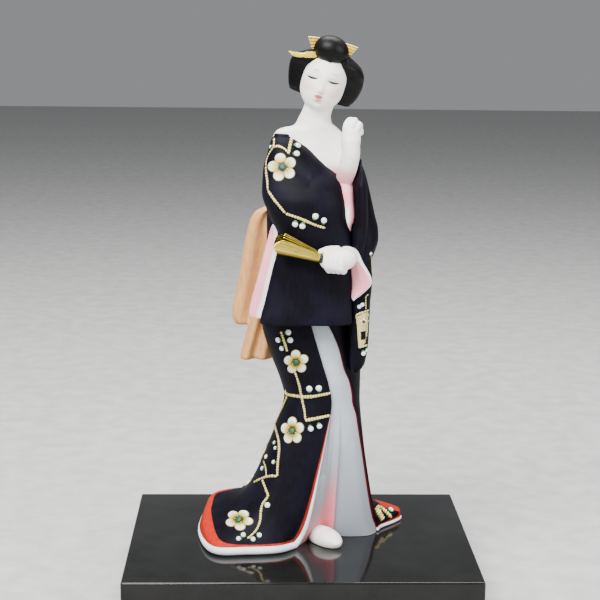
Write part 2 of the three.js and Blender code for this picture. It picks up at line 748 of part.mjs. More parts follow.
// The ribbon arches over the crown behind the front puff, and its ends flare and droop
function ribbon(grow) {
  const place = onHead([-1, 3.4, 25.7]);
  const [reach, droop] = [ribbonSpan / 2, ribbonSpan * 0.11];
  const at = (side) => (u, v) => {
    const out = Math.abs(2 * u - 1);
    const end = reach - ribbonFlare * 0.55 * (1 - v) + grow;
    const tall = ribbonFlare * lerp(0.45, 1, out) + 2 * grow;
    const y = side * (ribbonThickness / 2 + grow) - 2.5 * (v - 0.5) * out;
    const z = -droop * out * out + (v - 0.5) * tall;
    return new THREE.Vector3((2 * u - 1) * end, y, z).applyMatrix4(place);
  };
  return sheetSolid(at(-1), at(1), 10, steps(2));
}

// The flat pin goes into the hair at the side; its notched leaf stays outside
function pin(grow) {
  const place = onHead([-30, -9.5, 9.6]);
  const leaf = profile([0, 0.95], [0.16, 1], [0.4, 0.6], [1, 0.45]);
  const at = (side) => (u, v) => {
    const wide = pinWidth * leaf(u) + 2 * grow;
    const along = u * (pinLength + 2 * grow) - grow;
    const notch = pinWidth * 0.5 * (1 - (2 * v - 1) ** 2) * Math.max(0, 1 - u * 6);
    const rise = pinLength * (0.22 * u - 0.06 * u * u) + 1.5 * bump(u, 0, 0.08);
    const z = rise + 0.55 * (v - 0.5) * wide + side * (pinThickness / 2 + grow);
    return new THREE.Vector3(along + notch, (v - 0.5) * wide, z).applyMatrix4(place);
  };
  return sheetSolid(at(-1), at(1), 10, steps(2));
}

// Plinth: a block whose edges are rounded

function plinth() {
  const [a, b, r] = [plinthLength / 2 - plinthEdge, plinthDepth / 2 - plinthEdge, plinthEdge];
  const outline = new THREE.Shape();
  outline.moveTo(a, -b);
  outline.lineTo(a, b);
  outline.lineTo(-a, b);
  outline.lineTo(-a, -b);
  const block = new THREE.ExtrudeGeometry(outline, {
    depth: plinthHeight - 2 * r,
    bevelEnabled: true,
    bevelThickness: r,
    bevelSize: r,
    bevelSegments: 3,
  });
  return solidOf(block.translate(0, 0, r));
}

// The doll

const clay = new THREE.MeshStandardMaterial({ color: 0x15152a, roughness: 0.62 });
const gold = new THREE.MeshStandardMaterial({ color: 0xc9a63c, roughness: 0.3, metalness: 1 });
const lacquer = new THREE.MeshStandardMaterial({ color: 0x08080a, roughness: 0.12 });

const clayForms = join([
  kimonoSkirt(),
  underRobe(),
  hemRoll(),
  foot(),
  chest(),
  bodice(),
  rightSleeve(),
  sleeveMouth(),
  sleeveLining(),
  leftSleeve(),
  leftCuff(),
  obi(),
  headBall(),
  hair(),
  raisedHand(),
  fanHand(),
]).scale([share, share, share]);
const rooms = join([folding(gap), ribbon(gap), pin(gap)]);

const doll = new THREE.Group();
doll.position.z = plinthHeight + gap;
doll.add(
  meshOf("figure", clayForms.subtract(rooms), clay),
  meshOf("folding_fan", folding(0), gold),
  meshOf("hair_ribbon", ribbon(0), gold),
  meshOf("hair_pin", pin(0), gold),
);

const hakataDoll = new THREE.Group();
hakataDoll.add(meshOf("plinth", plinth(), lacquer), doll);

export default hakataDoll;
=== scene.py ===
import math

import bmesh
import bpy
import numpy as np
from mathutils import Matrix, Vector
from mathutils.bvhtree import BVHTree


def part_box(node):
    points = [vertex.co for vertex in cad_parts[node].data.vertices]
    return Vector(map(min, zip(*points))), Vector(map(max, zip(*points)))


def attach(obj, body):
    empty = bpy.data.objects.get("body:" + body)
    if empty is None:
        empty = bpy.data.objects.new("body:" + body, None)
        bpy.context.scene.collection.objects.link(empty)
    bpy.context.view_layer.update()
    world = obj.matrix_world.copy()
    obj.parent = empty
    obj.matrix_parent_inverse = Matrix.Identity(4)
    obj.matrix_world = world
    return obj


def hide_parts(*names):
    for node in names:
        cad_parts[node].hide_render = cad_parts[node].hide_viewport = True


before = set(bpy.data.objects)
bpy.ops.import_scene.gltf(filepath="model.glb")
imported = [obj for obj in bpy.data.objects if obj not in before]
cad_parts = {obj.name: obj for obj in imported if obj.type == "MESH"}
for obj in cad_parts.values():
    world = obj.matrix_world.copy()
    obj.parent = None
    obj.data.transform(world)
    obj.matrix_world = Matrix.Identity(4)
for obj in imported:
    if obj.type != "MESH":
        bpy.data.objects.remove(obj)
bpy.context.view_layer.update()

figureLow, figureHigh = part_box("figure")
plinthLow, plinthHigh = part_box("plinth")
carvedHeight = 394.5                                   # crown of the hair above the plinth's top
share = (figureHigh.z - figureLow.z) * 1000 / carvedHeight
ground = figureLow.z                                   # height of the doll's underside in the frame


# numbers
def toFrame(points):
    # carving millimetres to metres in the shared frame
    return np.asarray(points, float) * (share / 1000) + np.array([0, 0, ground])


def profile(*pairs):
    # smooth curve through [position, value] pairs: cubic pieces whose slope at each pair is the
    # harmonic mean of its neighbours' slopes, level beyond the ends
    xs, ys = np.array(pairs, float).T
    rise = np.diff(ys) / np.diff(xs)
    both = rise[:-1] * rise[1:]
    total = np.where(rise[:-1] + rise[1:] == 0, 1, rise[:-1] + rise[1:])
    slope = np.zeros(len(xs))
    slope[1:-1] = np.where(both > 0, 2 * both / total, 0)

    def curve(t):
        # the straight line between two given points, plus a bend that meets the slope at both
        t = np.clip(t, xs[0], xs[-1])
        i = np.clip(np.searchsorted(xs, t), 1, len(xs) - 1)
        span, gain = xs[i] - xs[i - 1], ys[i] - ys[i - 1]
        s = (t - xs[i - 1]) / span
        bend = (slope[i - 1] * span - gain) * (1 - s) - (slope[i] * span - gain) * s
        return ys[i - 1] + gain * s + s * (1 - s) * bend
    return curve


def through(values, t):
    # Catmull-Rom curve through evenly spaced values, t from 0 to 1
    values = np.asarray(values, float)
    last = len(values) - 1
    place = np.clip(t, 0, 1) * last
    i = np.minimum(last - 1, np.floor(place).astype(int))
    a, b, c, d = (values[np.clip(i + k, 0, last)] for k in (-1, 0, 1, 2))
    s = (place - i)[..., None] if values.ndim > 1 else place - i
    return b + 0.5 * s * (c - a + s * (2 * a - 5 * b + 4 * c - d + s * (3 * (b - c) + d - a)))


def bump(x, centre, width):
    # bell curve of height 1: e to the power of minus the square of the distance in widths
    return np.exp(-(((x - centre) / width) ** 2))


def ease(x, low, high):
    # 0 below low, 1 above high, and a smooth step between
    t = np.clip((x - low) / (high - low), 0, 1)
    return t * t * (3 - 2 * t)


def lerp(a, b, t):
    # straight mix of two values: a at 0, b at 1
    return a + (b - a) * t


def unit(v):
    # vectors divided by their lengths
    return v / np.maximum(np.linalg.norm(v, axis=-1, keepdims=True), 1e-9)


def joined(*parts):
    # coordinates, each an array or a number, joined into one array of points
    return np.stack(np.broadcast_arrays(*parts), -1)


def crowd(n, low=0.0, high=1.0, ends=0.5):
    # n + 1 values from low to high: even steps mixed with cosine steps, which crowd at both ends
    t = np.linspace(0, 1, n + 1)
    t = lerp(t, 0.5 - 0.5 * np.cos(math.pi * t), ends)
    return low + (high - low) * t


# grids: arrays of points, rows by columns, that become closed meshes
def gridFaces(rows, columns, around):
    # four corners of each cell; around joins the last column to the first
    index = np.arange(rows * columns).reshape(rows, columns)
    here = index if around else index[:, :-1]
    after = np.roll(index, -1, 1) if around else index[:, 1:]
    return np.stack([here[:-1], after[:-1], after[1:], here[1:]], -1).reshape(-1, 4)


def gridNormals(points, around):
    # normal of the surface at each point: cross product of the steps along columns and rows
    if around:
        across = np.roll(points, -1, 1) - np.roll(points, 1, 1)
    else:
        across = np.gradient(points, axis=1)
    return unit(np.cross(across, np.gradient(points, axis=0)))


def meshOf(name, grids, weld=1e-7):
    # one mesh from several closed grids; each grid is (points, around, {attribute: values})
    points = np.concatenate([g[0].reshape(-1, 3) for g in grids])
    faces, start = [], 0
    for g in grids:
        rows, columns = g[0].shape[:2]
        faces.append(gridFaces(rows, columns, g[1]) + start)
        start += rows * columns
    faces = np.concatenate(faces)
    mesh = bpy.data.meshes.new(name)
    mesh.vertices.add(len(points))
    mesh.vertices.foreach_set("co", toFrame(points).astype(np.float32).ravel())
    mesh.loops.add(faces.size)
    mesh.loops.foreach_set("vertex_index", faces.astype(np.int32).ravel())
    mesh.polygons.add(len(faces))
    mesh.polygons.foreach_set("loop_start", np.arange(0, faces.size, 4, dtype=np.int32))
    mesh.update(calc_edges=True)
    for key in sorted({k for g in grids for k in g[2]}):
        values = [np.broadcast_to(g[2].get(key, 0.0), g[0].shape[:2]).ravel() for g in grids]
        mesh.attributes.new(key, "FLOAT", "POINT").data.foreach_set(
            "value", np.concatenate(values).astype(np.float32))
    work = bmesh.new()
    work.from_mesh(mesh)
    bmesh.ops.remove_doubles(work, verts=work.verts, dist=weld)
    bmesh.ops.recalc_face_normals(work, faces=work.faces)
    for face in work.faces:
        face.smooth = True
    work.to_mesh(mesh)
    work.free()
    return mesh


def addPiece(name, grids, material, slot, nodes):
    # a finished piece that stands for its CAD nodes
    mesh = grids if isinstance(grids, bpy.types.Mesh) else meshOf(name, grids)
    piece = bpy.data.objects.new(name, mesh)
    bpy.context.scene.collection.objects.link(piece)
    mesh.materials.append(material)
    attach(piece, "root")
    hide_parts(*nodes)
    return piece


def carvedTogether(name, grids, voxel, rounds):
    # grids melted into one skin of small voxels, then smoothed, as clay is worked over a joint
    mesh = meshOf(name + "Rough", grids)
    rough = bpy.data.objects.new(name + "Rough", mesh)
    bpy.context.scene.collection.objects.link(rough)
    melt = rough.modifiers.new("melt", "REMESH")
    melt.mode, melt.voxel_size, melt.use_smooth_shade = "VOXEL", voxel / 1000, True
    soften = rough.modifiers.new("soften", "SMOOTH")
    soften.factor, soften.iterations = 0.5, rounds
    bpy.context.view_layer.update()
    worked = bpy.data.meshes.new_from_object(rough.evaluated_get(bpy.context.evaluated_depsgraph_get()))
    worked.name = name
    bpy.data.objects.remove(rough)
    bpy.data.meshes.remove(mesh)
    worked.materials.clear()
    return worked


# forms
def ringAt(shape, u, z):
    # ring from its left, right, front and back at each height: cosine and sine raised to 2 / power, so
    # that power 2 is an ellipse and more is squarer
    cos, sin = np.cos(2 * math.pi * u), np.sin(2 * math.pi * u)
    left, right, front, back = (shape[k](z) for k in ("left", "right", "front", "back"))

    def squarer(c):
        # sine or cosine to the power of 2 over the given one, with its sign kept
        return np.sign(c) * np.abs(c) ** (2 / shape.get("power", 2))
    x = (left + right) / 2 + (right - left) / 2 * squarer(cos)
    y = (front + back) / 2 + (back - front) / 2 * squarer(sin)
    return joined(x, y, z)


def stack(shape, low, high, rows=80, columns=96, edge=1.5, ends=0.35):
    # rings one above another; both ends turn over with a small radius and close at their middle
    u = np.arange(columns)[None] / columns
    z = crowd(rows, low + edge, high - edge, ends)[:, None]
    wall = ringAt(shape, u, z)
    turn = np.linspace(0, math.pi / 2, 6)[1:, None, None]

    def close(ring, way):
        # a quarter round turned inwards from the end ring, then three steps flat to its middle
        centre = ring.mean(0, keepdims=True)
        reach = np.linalg.norm((ring - centre)[..., :2], axis=-1)[None, :, None]
        by = np.minimum(edge * (1 - np.cos(turn)) / np.maximum(reach, 0.01), 1)
        rim = ring[None] + (centre - ring)[None] * by + np.array([0, 0, way * edge]) * np.sin(turn)
        inwards = np.array([0.3, 0.65, 1])[:, None, None]
        flat = lerp(rim[-1:], rim[-1:].mean(1, keepdims=True), inwards)
        return np.concatenate([rim, flat])
    return np.concatenate([close(wall[0], -1)[::-1], wall, close(wall[-1], 1)]), True


def limb(stops, sides=32, along=48, beside=(1.0, 0.02, 0.01)):
    # round bar: circles square to a smooth path through stops of (x, y, z, radius), with a half sphere
    # at both ends; beside is any direction across the path
    path = through(np.array(stops, float), np.linspace(0, 1, along + 1))
    centre, radius = path[:, :3], path[:, 3]
    ahead = unit(np.gradient(centre, axis=0))
    side = unit(np.cross(ahead, np.cross(beside, ahead)))
    up = np.cross(ahead, side)
    dome = np.sin(np.linspace(0, math.pi / 2, 9)[:-1])
    back = -np.sqrt(1 - dome ** 2)
    rows = np.concatenate([np.zeros(8, int), np.arange(along + 1), np.full(8, along)])
    swell = np.concatenate([dome, np.ones(along + 1), dome[::-1]]) * radius[rows]
    push = np.concatenate([back, np.zeros(along + 1), -back[::-1]]) * radius[rows]
    turn = 2 * math.pi * np.arange(sides)[None, :, None] / sides
    out = np.cos(turn) * side[rows][:, None] + np.sin(turn) * up[rows][:, None]
    core = centre[rows][:, None] + ahead[rows][:, None] * push[:, None, None]
    return core + out * swell[:, None, None], True


def ball(radii, shape=None, rows=40, columns=64):
    # sphere stretched to three radii; shape may then move its points, given the unit sphere too
    polar = np.linspace(0, math.pi, rows + 1)[:, None]
    turn = 2 * math.pi * np.arange(columns)[None] / columns
    sphere = joined(
        np.sin(polar) * np.cos(turn), np.sin(polar) * np.sin(turn), np.cos(polar))
    points = sphere * np.array(radii, float)
    return (shape(points, sphere) if shape else points), True


def closeEnds(wall):
    # flat lids: two more rows at each end, half way to the middle and at it
    inwards = np.array([0.5, 1])[:, None, None]
    first, last = (lerp(row, row.mean(1, keepdims=True), inwards) for row in (wall[:1], wall[-1:]))
    return np.concatenate([first[::-1], wall, last])


def closeMarks(marks):
    # the same marks on the rows that closeEnds adds
    return np.concatenate([marks[:1], marks[:1], marks, marks[-1:], marks[-1:]])


def moved(grid, place):
    # a grid put in its place by a 4 by 4 matrix
    turn, shift = np.array(place)[:3, :3], np.array(place)[:3, 3]
    return grid[0] @ turn.T + shift, grid[1]


def at(x, y, z):
    # matrix of a plain move
    return Matrix.Translation((x, y, z))


def turned(degrees, axis):
    # matrix of a plain turn
    return Matrix.Rotation(math.radians(degrees), 4, axis)


def plain(grid, **marks):
    # a grid with its marks, which become attributes of the mesh
    return grid[0], grid[1], marks


def shell(surface, us, vs, rim=(0.02, 0.02), **marks):
    # closed shell: surface(u, v, side) for side -1 to 1, whose two sheets meet at a rounded rim
    u, v = us[None, :], vs[:, None]
    near = np.minimum(np.minimum(u, 1 - u) / rim[0], np.minimum(v, 1 - v) / rim[1])
    side = np.sqrt(1 - (1 - np.clip(near, 0, 1)) ** 2)
    front, back = surface(u, v, side), surface(u, v, -side)
    extra = {key: make(u, v) for key, make in marks.items()}
    return [(front, False, extra), (back, False, extra)]


# skirt
skirtSizes = {
    "knee": 115, "hem": 6,                             # height of the narrowest place, and of the hem's roll
    "top": 190, "bottom": 1.2,                         # upper end, under the sleeves, and lowest row
    "thickness": 4.2, "rim": 0.006,                    # wall, and its rounded edge as a share of the width
    "leave": 0.08,                                     # how gently the wall leaves the knee
    "swing": 10.5,                                     # degrees the right edge turns outwards below the knee
    "foldDepth": 1.3, "foldTurns": 26,
    "tailBand": 24, "trainBand": 12,                   # more red behind the right tail and behind the train
    "columns": 230, "rows": 96}
kneeHeight, hemHeight = skirtSizes["knee"], skirtSizes["hem"]

# round the dark skirt, from its left front edge by the back to the right one: hem place, bearing at
# the knee, straight part of the fall, height of the flare
hemStations = np.array([
    (-5, -30, 283, 0.82, 9), (-20, -42, 266, 0.72, 10), (-46, -46, 245, 0.62, 12),
    (-69, -44, 222, 0.56, 13), (-80, -12, 197, 0.56, 14), (-82.5, 24, 176, 0.56, 14),
    (-75, 60, 152, 0.5, 14), (-45, 77, 126, 0.5, 14), (-8, 78, 100, 0.55, 14),
    (30, 74, 74, 0.5, 13), (64, 60, 46, 0.4, 12), (85.5, 38, 20, 0.33, 8),
    (67, 14, -8, 0.66, 5), (64.2, 9, -33.5, 0.95, 4)], float)
openStations = np.array([
    (62, 5, -37.5, 0.93, 7), (54.5, -3, -48, 0.9, 7), (40, -5, -59, 0.88, 7),
    (27, -4, -67, 0.8, 8), (17, 3, -72, 0.65, 10), (6, -8, -76, 0.6, 10)], float)
hemLift = [0, 0, 0, 1, 4, 8.5, 10.5, 9, 6, 4, 3, 2, 0, 0]  # height of the nearly upright edge at each station
redBand = [7.8, 8.0, 8.6, 12.5, 17.5, 19.5, 20, 18.5, 16, 15, 12, 4.5, 2.6, 2.4]     # width of the red there

skirtLeft = profile([115, -13.7], [126, -16.2], [150, -25.1], [174, -31.5], [200, -30])
skirtRight = profile([115, 46.4], [133, 46.5], [160, 48], [200, 42])
skirtFront = profile([115, -22], [150, -24], [180, -23], [200, -20])
skirtBack = profile([115, 29], [150, 36], [172, 39], [200, 32])
leftPanelEdge = profile([115, 23.3], [126, 21.6], [148, 15.2], [179, 5.6], [200, 0])
rightPanelEdge = profile([115, 41.4], [129, 38.9], [141, 33.8], [157, 29.4], [169, 24.5], [200, 8])


def skirtCentre(z):
    # middle of the ring above the knee
    return (skirtLeft(z) + skirtRight(z)) / 2, 5.0


def skirtRing(bearing, z):
    # half ellipses in front and behind, meeting at the sides
    cx, cy = skirtCentre(z)
    cos, sin = np.cos(np.radians(bearing)), np.sin(np.radians(bearing))
    depth = np.where(sin < 0, cy - skirtFront(z), skirtBack(z) - cy)
    x = cx + (skirtRight(z) - skirtLeft(z)) / 2 * cos
    return joined(x, cy + depth * sin)


def bearingOfX(x, z):
    # bearing in front whose ring point has this x: arc cosine of its share of the half width
    cx = skirtCentre(z)[0]
    return -np.degrees(np.arccos(np.clip((x - cx) / (skirtRight(z) - cx), -1, 1)))


def skirtPoint(stations, t, z, inset):
    # from the knee's ring the wall falls partly straight and partly in a flare to the hem's outline:
    # the place is a mix of ring and outline, whose share is straight * ramp + (1 - straight) * flare
    s = skirtSizes
    x, y, base, straight, flareHeight = np.moveaxis(through(stations, t), -1, 0)
    closed = stations is hemStations
    first, last = stations[0, 2], stations[-1, 2]
    across = (base - first) / (last - first)
    nearLeft = np.maximum(0, 1 - 3 * t) ** 1.5 if closed else across
    nearRight = np.maximum(0, 3 * t - 2) ** 1.5 if closed else 1 - across

    def shifted(edge):
        # bearing of an edge at this height, less its bearing at the knee
        return bearingOfX(edge(z), z) - bearingOfX(edge(kneeHeight), kneeHeight)
    higher = nearLeft * shifted(leftPanelEdge) + nearRight * shifted(rightPanelEdge)
    swing = s["swing"] * nearRight * ease(kneeHeight - z, 0, 16) * ease(z, 15, 75)
    bearing = base + (z > kneeHeight) * higher + swing
    high = np.maximum(z, kneeHeight)
    cx, cy = skirtCentre(high)
    fall = np.clip((kneeHeight - z) / kneeHeight, 0, 1)
    ramp = (np.hypot(fall, s["leave"]) - s["leave"]) / (np.hypot(1, s["leave"]) - s["leave"])
    low = hemHeight + through(hemLift, t) * (1 - ease(z, 10, 45)) if closed else 0
    flare = np.exp(-np.maximum(0, z - low) / flareHeight) * (z < kneeHeight)
    outwards = straight * ramp + (1 - straight) * flare
    centre = np.stack(np.broadcast_arrays(cx, cy, outwards)[:2], -1)

    def inward(p, by):
        # the point moved straight towards the ring's centre by a distance
        way = p - centre
        length = np.linalg.norm(way, axis=-1)
        return centre + way * ((length - by) / length)[..., None]
    folds = s["foldDepth"] * outwards * np.sin(s["foldTurns"] * t + 0.4) * bump(z, 45, 45)
    hem = np.stack(np.broadcast_arrays(x, y, outwards)[:2], -1)
    top = np.broadcast_to(skirtRing(bearing, high), hem.shape)
    outline = inward(hem, inset - folds) if closed else hem
    place = lerp(inward(top, inset), outline, outwards[..., None])
    return np.concatenate([place, np.broadcast_to(z, place.shape[:2])[..., None]], -1)


def skirtHeights(rows, bottom, top):
    # heights from the hem up, closer together in the flare
    return bottom + (top - bottom) * np.linspace(0, 1, rows + 1) ** 1.9


def kimonoSkirt():
    # skirtPoint over the whole skirt, once outside and once further in, joined at a rounded rim; its marks
    # are the ways from the hem and from the nearer front edge, and the width of the red band
    s = skirtSizes
    t = np.unique(np.concatenate([
        np.linspace(0, 1, s["columns"] + 1), crowd(8, 0, 0.012, 1), crowd(8, 0.988, 1, 1)]))
    z = skirtHeights(s["rows"], s["bottom"], s["top"])[:, None]
    outerWall = skirtPoint(hemStations, t[None], z, 0)
    along = np.cumsum(np.linalg.norm(np.diff(outerWall, axis=0, prepend=outerWall[:1]), axis=-1), 0)
    edge = np.concatenate([[0], np.cumsum(np.linalg.norm(np.diff(outerWall[30], axis=0), axis=-1))])
    toEdge = np.minimum(edge, edge[-1] - edge)
    rounded = np.sqrt(1 - (1 - np.clip(np.minimum(t, 1 - t) / s["rim"], 0, 1)) ** 2)
    overRim = np.where(t < 0.5, 1 - rounded, rounded) * s["thickness"] / 2
    band = through(redBand, t)
    band = band + s["tailBand"] * ease(t, 0.74, 0.8) * (1 - ease(t, 0.846, 0.864))
    band = band + s["trainBand"] * ease(t, 0.45, 0.49) * (1 - ease(t, 0.58, 0.66))
    marks = {"fromHem": along, "bandWidth": band, "fromEdge": toEdge + overRim, "leftEdge": (t < 0.5) * 1.0}
    inside = {**marks, "fromEdge": toEdge + np.where(t < 0.5, 99, 0)}      # no red line inside the left edge

    def surface(u, v, side):
        # one face on the skirt's outline, the other the cloth's thickness away from it
        return skirtPoint(hemStations, u, z, s["thickness"] * (1 - side) / 2)
    outer, inner = shell(surface, t, np.linspace(0, 1, len(z)), rim=(s["rim"], 0.004))
    return [plain(outer, **marks), plain(inner, **inside)]


robeSizes = {
    "inset": 2.6, "covered": 0.5,                      # inside the kimono by this much, hidden for this share
    "foldDepth": 1.9, "bulge": 0.7, "blush": 0.95,
    "columns": 260, "rows": 96}


def underRobe():
    # a closed wall inside the kimono: one share of it follows the hem's stations, the rest the open front's;
    # the right part of the pale panel lies over the left one, with a soft edge that runs out at the knee
    s = robeSizes
    u = np.arange(s["columns"]) / s["columns"]
    z = skirtHeights(s["rows"], 0.0, skirtSizes["top"])[:, None]
    across = np.clip((u - s["covered"]) / (1 - s["covered"]), 0, 1)[None]
    hidden = skirtPoint(hemStations, np.minimum(u / s["covered"], 1)[None], z, s["inset"])
    shown = skirtPoint(openStations, across, z, s["inset"])
    wall = np.where((u < s["covered"])[None, :, None], hidden, shown)
    edge = lerp(0.60, 0.50, np.clip(z / 110, 0, 1))
    fade = ease(118 - z, 0, 60)
    back = ease(across, edge - 0.012, edge + 0.02) * fade * (across > 0)
    bulge = s["bulge"] * bump(across, edge - 0.06, 0.07) * fade
    wall = wall + gridNormals(wall, True) * (s["foldDepth"] * back - bulge)[..., None] * -1
    height = np.clip(z / 62, 0, 1)
    reach = edge + 0.09 + 0.27 * (1 - height)
    left = 1 - ease(across, reach, reach + 0.16 + 0.26 * (1 - height))
    blush = s["blush"] * back * left * (1 - height) ** 0.6
    # painted shade: a darker strip in the recess along the fold, where the right part lies over the left
    recess = back * bump(across, edge + 0.02, 0.05)
    return [plain((closeEnds(wall), True), blush=closeMarks(blush), recess=closeMarks(recess))]


rollSizes = {
    "edgeTop": 104, "edgeRadius": 0.55, "footRadius": 2.3,                 # down the left front edge
    "radii": [2.6, 3.0, 3.1, 3.0, 2.3, 1.9, 1.5, 1.3, 1.3, 1.3, 1.3, 1.3, 1.4, 1.2]}      # and round the hem


def hemRoll():
    # the padded white roll: a round bar down the left front edge, round the hem and to the right front
    # corner, with the bend between edge and hem eased
    s = rollSizes
    z = np.linspace(s["edgeTop"], hemHeight, 60)[:, None]
    edge = skirtPoint(hemStations, np.array([[0.0]]), z, 2.0)[:, 0]
    t = np.linspace(0, 1, 320)
    hem = skirtPoint(hemStations, t[None], np.array([[float(hemHeight)]]), 0.2)[0]
    upwards = (edge[:, 2] - hemHeight) / (s["edgeTop"] - hemHeight)
    thin = lerp(s["edgeRadius"], s["footRadius"], (1 - upwards) ** 1.6)
    climb = np.column_stack([edge[:, 0] + 0.4 * thin, edge[:, 1], edge[:, 2], thin])
    radius = through(s["radii"], t)
    below = np.column_stack([hem[:, 0], hem[:, 1], radius + 0.05, radius])
    join = through(np.array([climb[-6], climb[-3], below[3], below[8]]), np.linspace(1 / 3, 2 / 3, 8))
    return limb(np.concatenate([climb[:-3], join, below[4:]]), 28, 560, beside=(-0.5, -0.2, 1.0))


# upper body: each shape gives its left, right, front and back at every height
chestShape = {
    "left": profile(
        [150, -14], [200, -24], [260, -22], [300, -24], [314, -25], [319.5, -23.8], [323.5, -21.4],
        [325.6, -17.6], [327.3, -9.5], [329.5, -6.8], [333, -5.2], [339, -2.3], [346, -0.2]),
    "right": profile(
        [150, 40], [200, 42], [260, 40], [300, 40], [308, 38], [316, 34], [322, 29], [327, 23.8],
        [330, 20.4], [335, 19.6], [346, 22]),
    "front": profile(
        [150, -12], [200, -18], [270, -20], [298, -22], [312, -17], [322, -14.5], [333, -14], [346, -17]),
    "back": profile([150, 24], [200, 30], [260, 24], [300, 22], [318, 16], [331, 9], [346, 6]),
    "power": 2.2}

bodiceShape = {
    "start": -62, "end": 222,                          # bearings of its two edges
    "low": 180, "front": 24, "middle": (7, 4),
    "rim": profile([-62, 300], [-20, 304], [30, 305], [90, 303], [150, 311], [190, 318], [222, 319]),
    "width": profile([180, 36.5], [225, 33], [262, 33.5], [290, 34.5], [308, 32.5], [320, 29.5]),
    "back": profile([180, 33.5], [225, 26], [262, 23], [288, 22.5], [304, 20], [320, 14])}


def bodice():
    # the kimono round the back and sides, open on the chest and low at the nape: an oval whose half width
    # and half depth change with height, swept from one bearing to the other
    s = bodiceShape

    def surface(u, v, side):
        # bearing and height on an ellipse that grows for the outer face; the wall thickens downwards
        bearing = lerp(s["start"], s["end"], u)
        z = lerp(s["low"], s["rim"](bearing), v)
        cos, sin = np.cos(np.radians(bearing)), np.sin(np.radians(bearing))
        grow = -0.3 + 2.3 * side - 5.5 * (1 - v) * (side < 0)
        depth = np.where(sin < 0, s["front"], s["back"](z))
        x, y = s["middle"][0] + (s["width"](z) + grow) * cos, s["middle"][1] + (depth + grow) * sin
        return joined(x, y, z)
    return shell(surface, crowd(150), crowd(90, ends=0.8))


rightSleeveShape = {
    "left": profile(
        [181, -33.2], [198, -29.4], [221, -24.2], [236, -20.8], [249, -20.5], [257, -24.4],
        [264, -27.5], [279, -32.2], [294, -31.5], [309, -27.8], [317, -25.4], [321.5, -23]),
    "right": profile(
        [181, 36.3], [200, 36], [226, 36.3], [251, 34.6], [264, 32.4], [275, 31.6], [284, 30],
        [290, 27], [297.5, 18.7], [305, 10.5], [312, 3], [317.9, -6], [321.5, -11.2]),
    "front": profile(
        [181, -42], [205, -40.5], [235, -41.5], [252, -44], [270, -46.5], [282, -43.5], [292, -37],
        [304, -30], [315, -22], [323, -13]),
    "back": profile([181, -24], [210, -20], [235, -14], [262, -4], [285, 4], [305, 6], [318, 4], [323, 0]),
    "power": 2.5}
breastFolds = {"depth": 1.1, "leftSlope": 0.55, "rightSlope": -0.75, "swell": 0.9}


def rightSleeve():
    # stacked rings that cover the breast and hang in front of the body to the thighs; two slanting creases,
    # bell curves across their lines, meet over a low swelling
    s = breastFolds
    points, around = stack(rightSleeveShape, 180.4, 322, rows=150, columns=200, edge=1.6)
    x, z = points[..., 0], points[..., 2]
    facing = np.clip((-10 - points[..., 1]) / 12, 0, 1)
    left = bump(z - 291 + s["leftSlope"] * (x - 2), 0, 3.2) * ease(x, -14, -4) * (1 - ease(x, 2, 6))
    right = bump(z - 289 + s["rightSlope"] * (x - 4), 0, 3.0) * ease(x, -1, 4) * (1 - ease(x, 14, 20))
    below = np.exp(-((x - 2) / 17) ** 2 - ((z - 276) / 7) ** 2)
    points[..., 1] += facing * (s["depth"] * np.maximum(left, right) - s["swell"] * below)
    return [plain((points, around))]


mouthOuter = {
    "left": profile([222, 35], [247, 34.6], [264, 36.4], [283, 36.2], [292, 39.8], [303, 42]),
    "right": profile([222, 44], [250, 48], [280, 47], [303, 43.2]),
    "front": profile([222, -36], [264, -38], [285, -37], [296, -26], [303, -12]),
    "back": profile([222, -4], [303, -2]),
    "power": 2.3}
mouthLiningShape = {
    "left": profile([247, 30], [262, 26], [284, 24], [289, 22]),
    "right": profile(
        [247, 32.5], [251, 35.2], [255, 36], [259, 37.6], [263, 38.2], [272, 37.4], [282, 36.4], [289, 35.4]),
    "front": profile([247, -32], [262, -35.5], [280, -34.5], [289, -30.5]),
    "back": profile([247, -8], [289, -6]),
    "power": 2.4}
openEdgeShape = {
    "left": profile(
        [181, -41], [183, -41.7], [189, -40.9], [212, -34.9], [236, -28.8], [248, -25.8], [256, -23.5]),
    "right": profile([181, 30], [256, 22]),
    "front": profile([181, -17], [256, -14]),
    "back": profile([181, 1], [256, 2]),
    "power": 3}


def mouthLining():
    # stacked rings round the raised forearm: white beside the dark front of the sleeve, deeper pink low
    # down on the other side
    points, around = stack(mouthLiningShape, 247, 289, rows=100, columns=160)
    x, z = points[..., 0], points[..., 2]
    white = ease(33.2 - x, -0.6, 0.6) * ease(274 - z, 0, 10) * ease(z, 250, 258)
    deep = 0.2 * ease(x, 35.5, 37.5) * ease(284 - z, 0, 20)
    return [plain((points, around), white=white, deep=deep)]


def openEdge():
    # stacked rings behind the sleeve's open back edge: pink, with a white border beside the dark cloth
    points, around = stack(openEdgeShape, 180.6, 256)
    fromSleeve = rightSleeveShape["left"](points[..., 2]) - points[..., 0]
    return [plain((points, around), white=ease(-fromSleeve, -2.9, -1.5))]


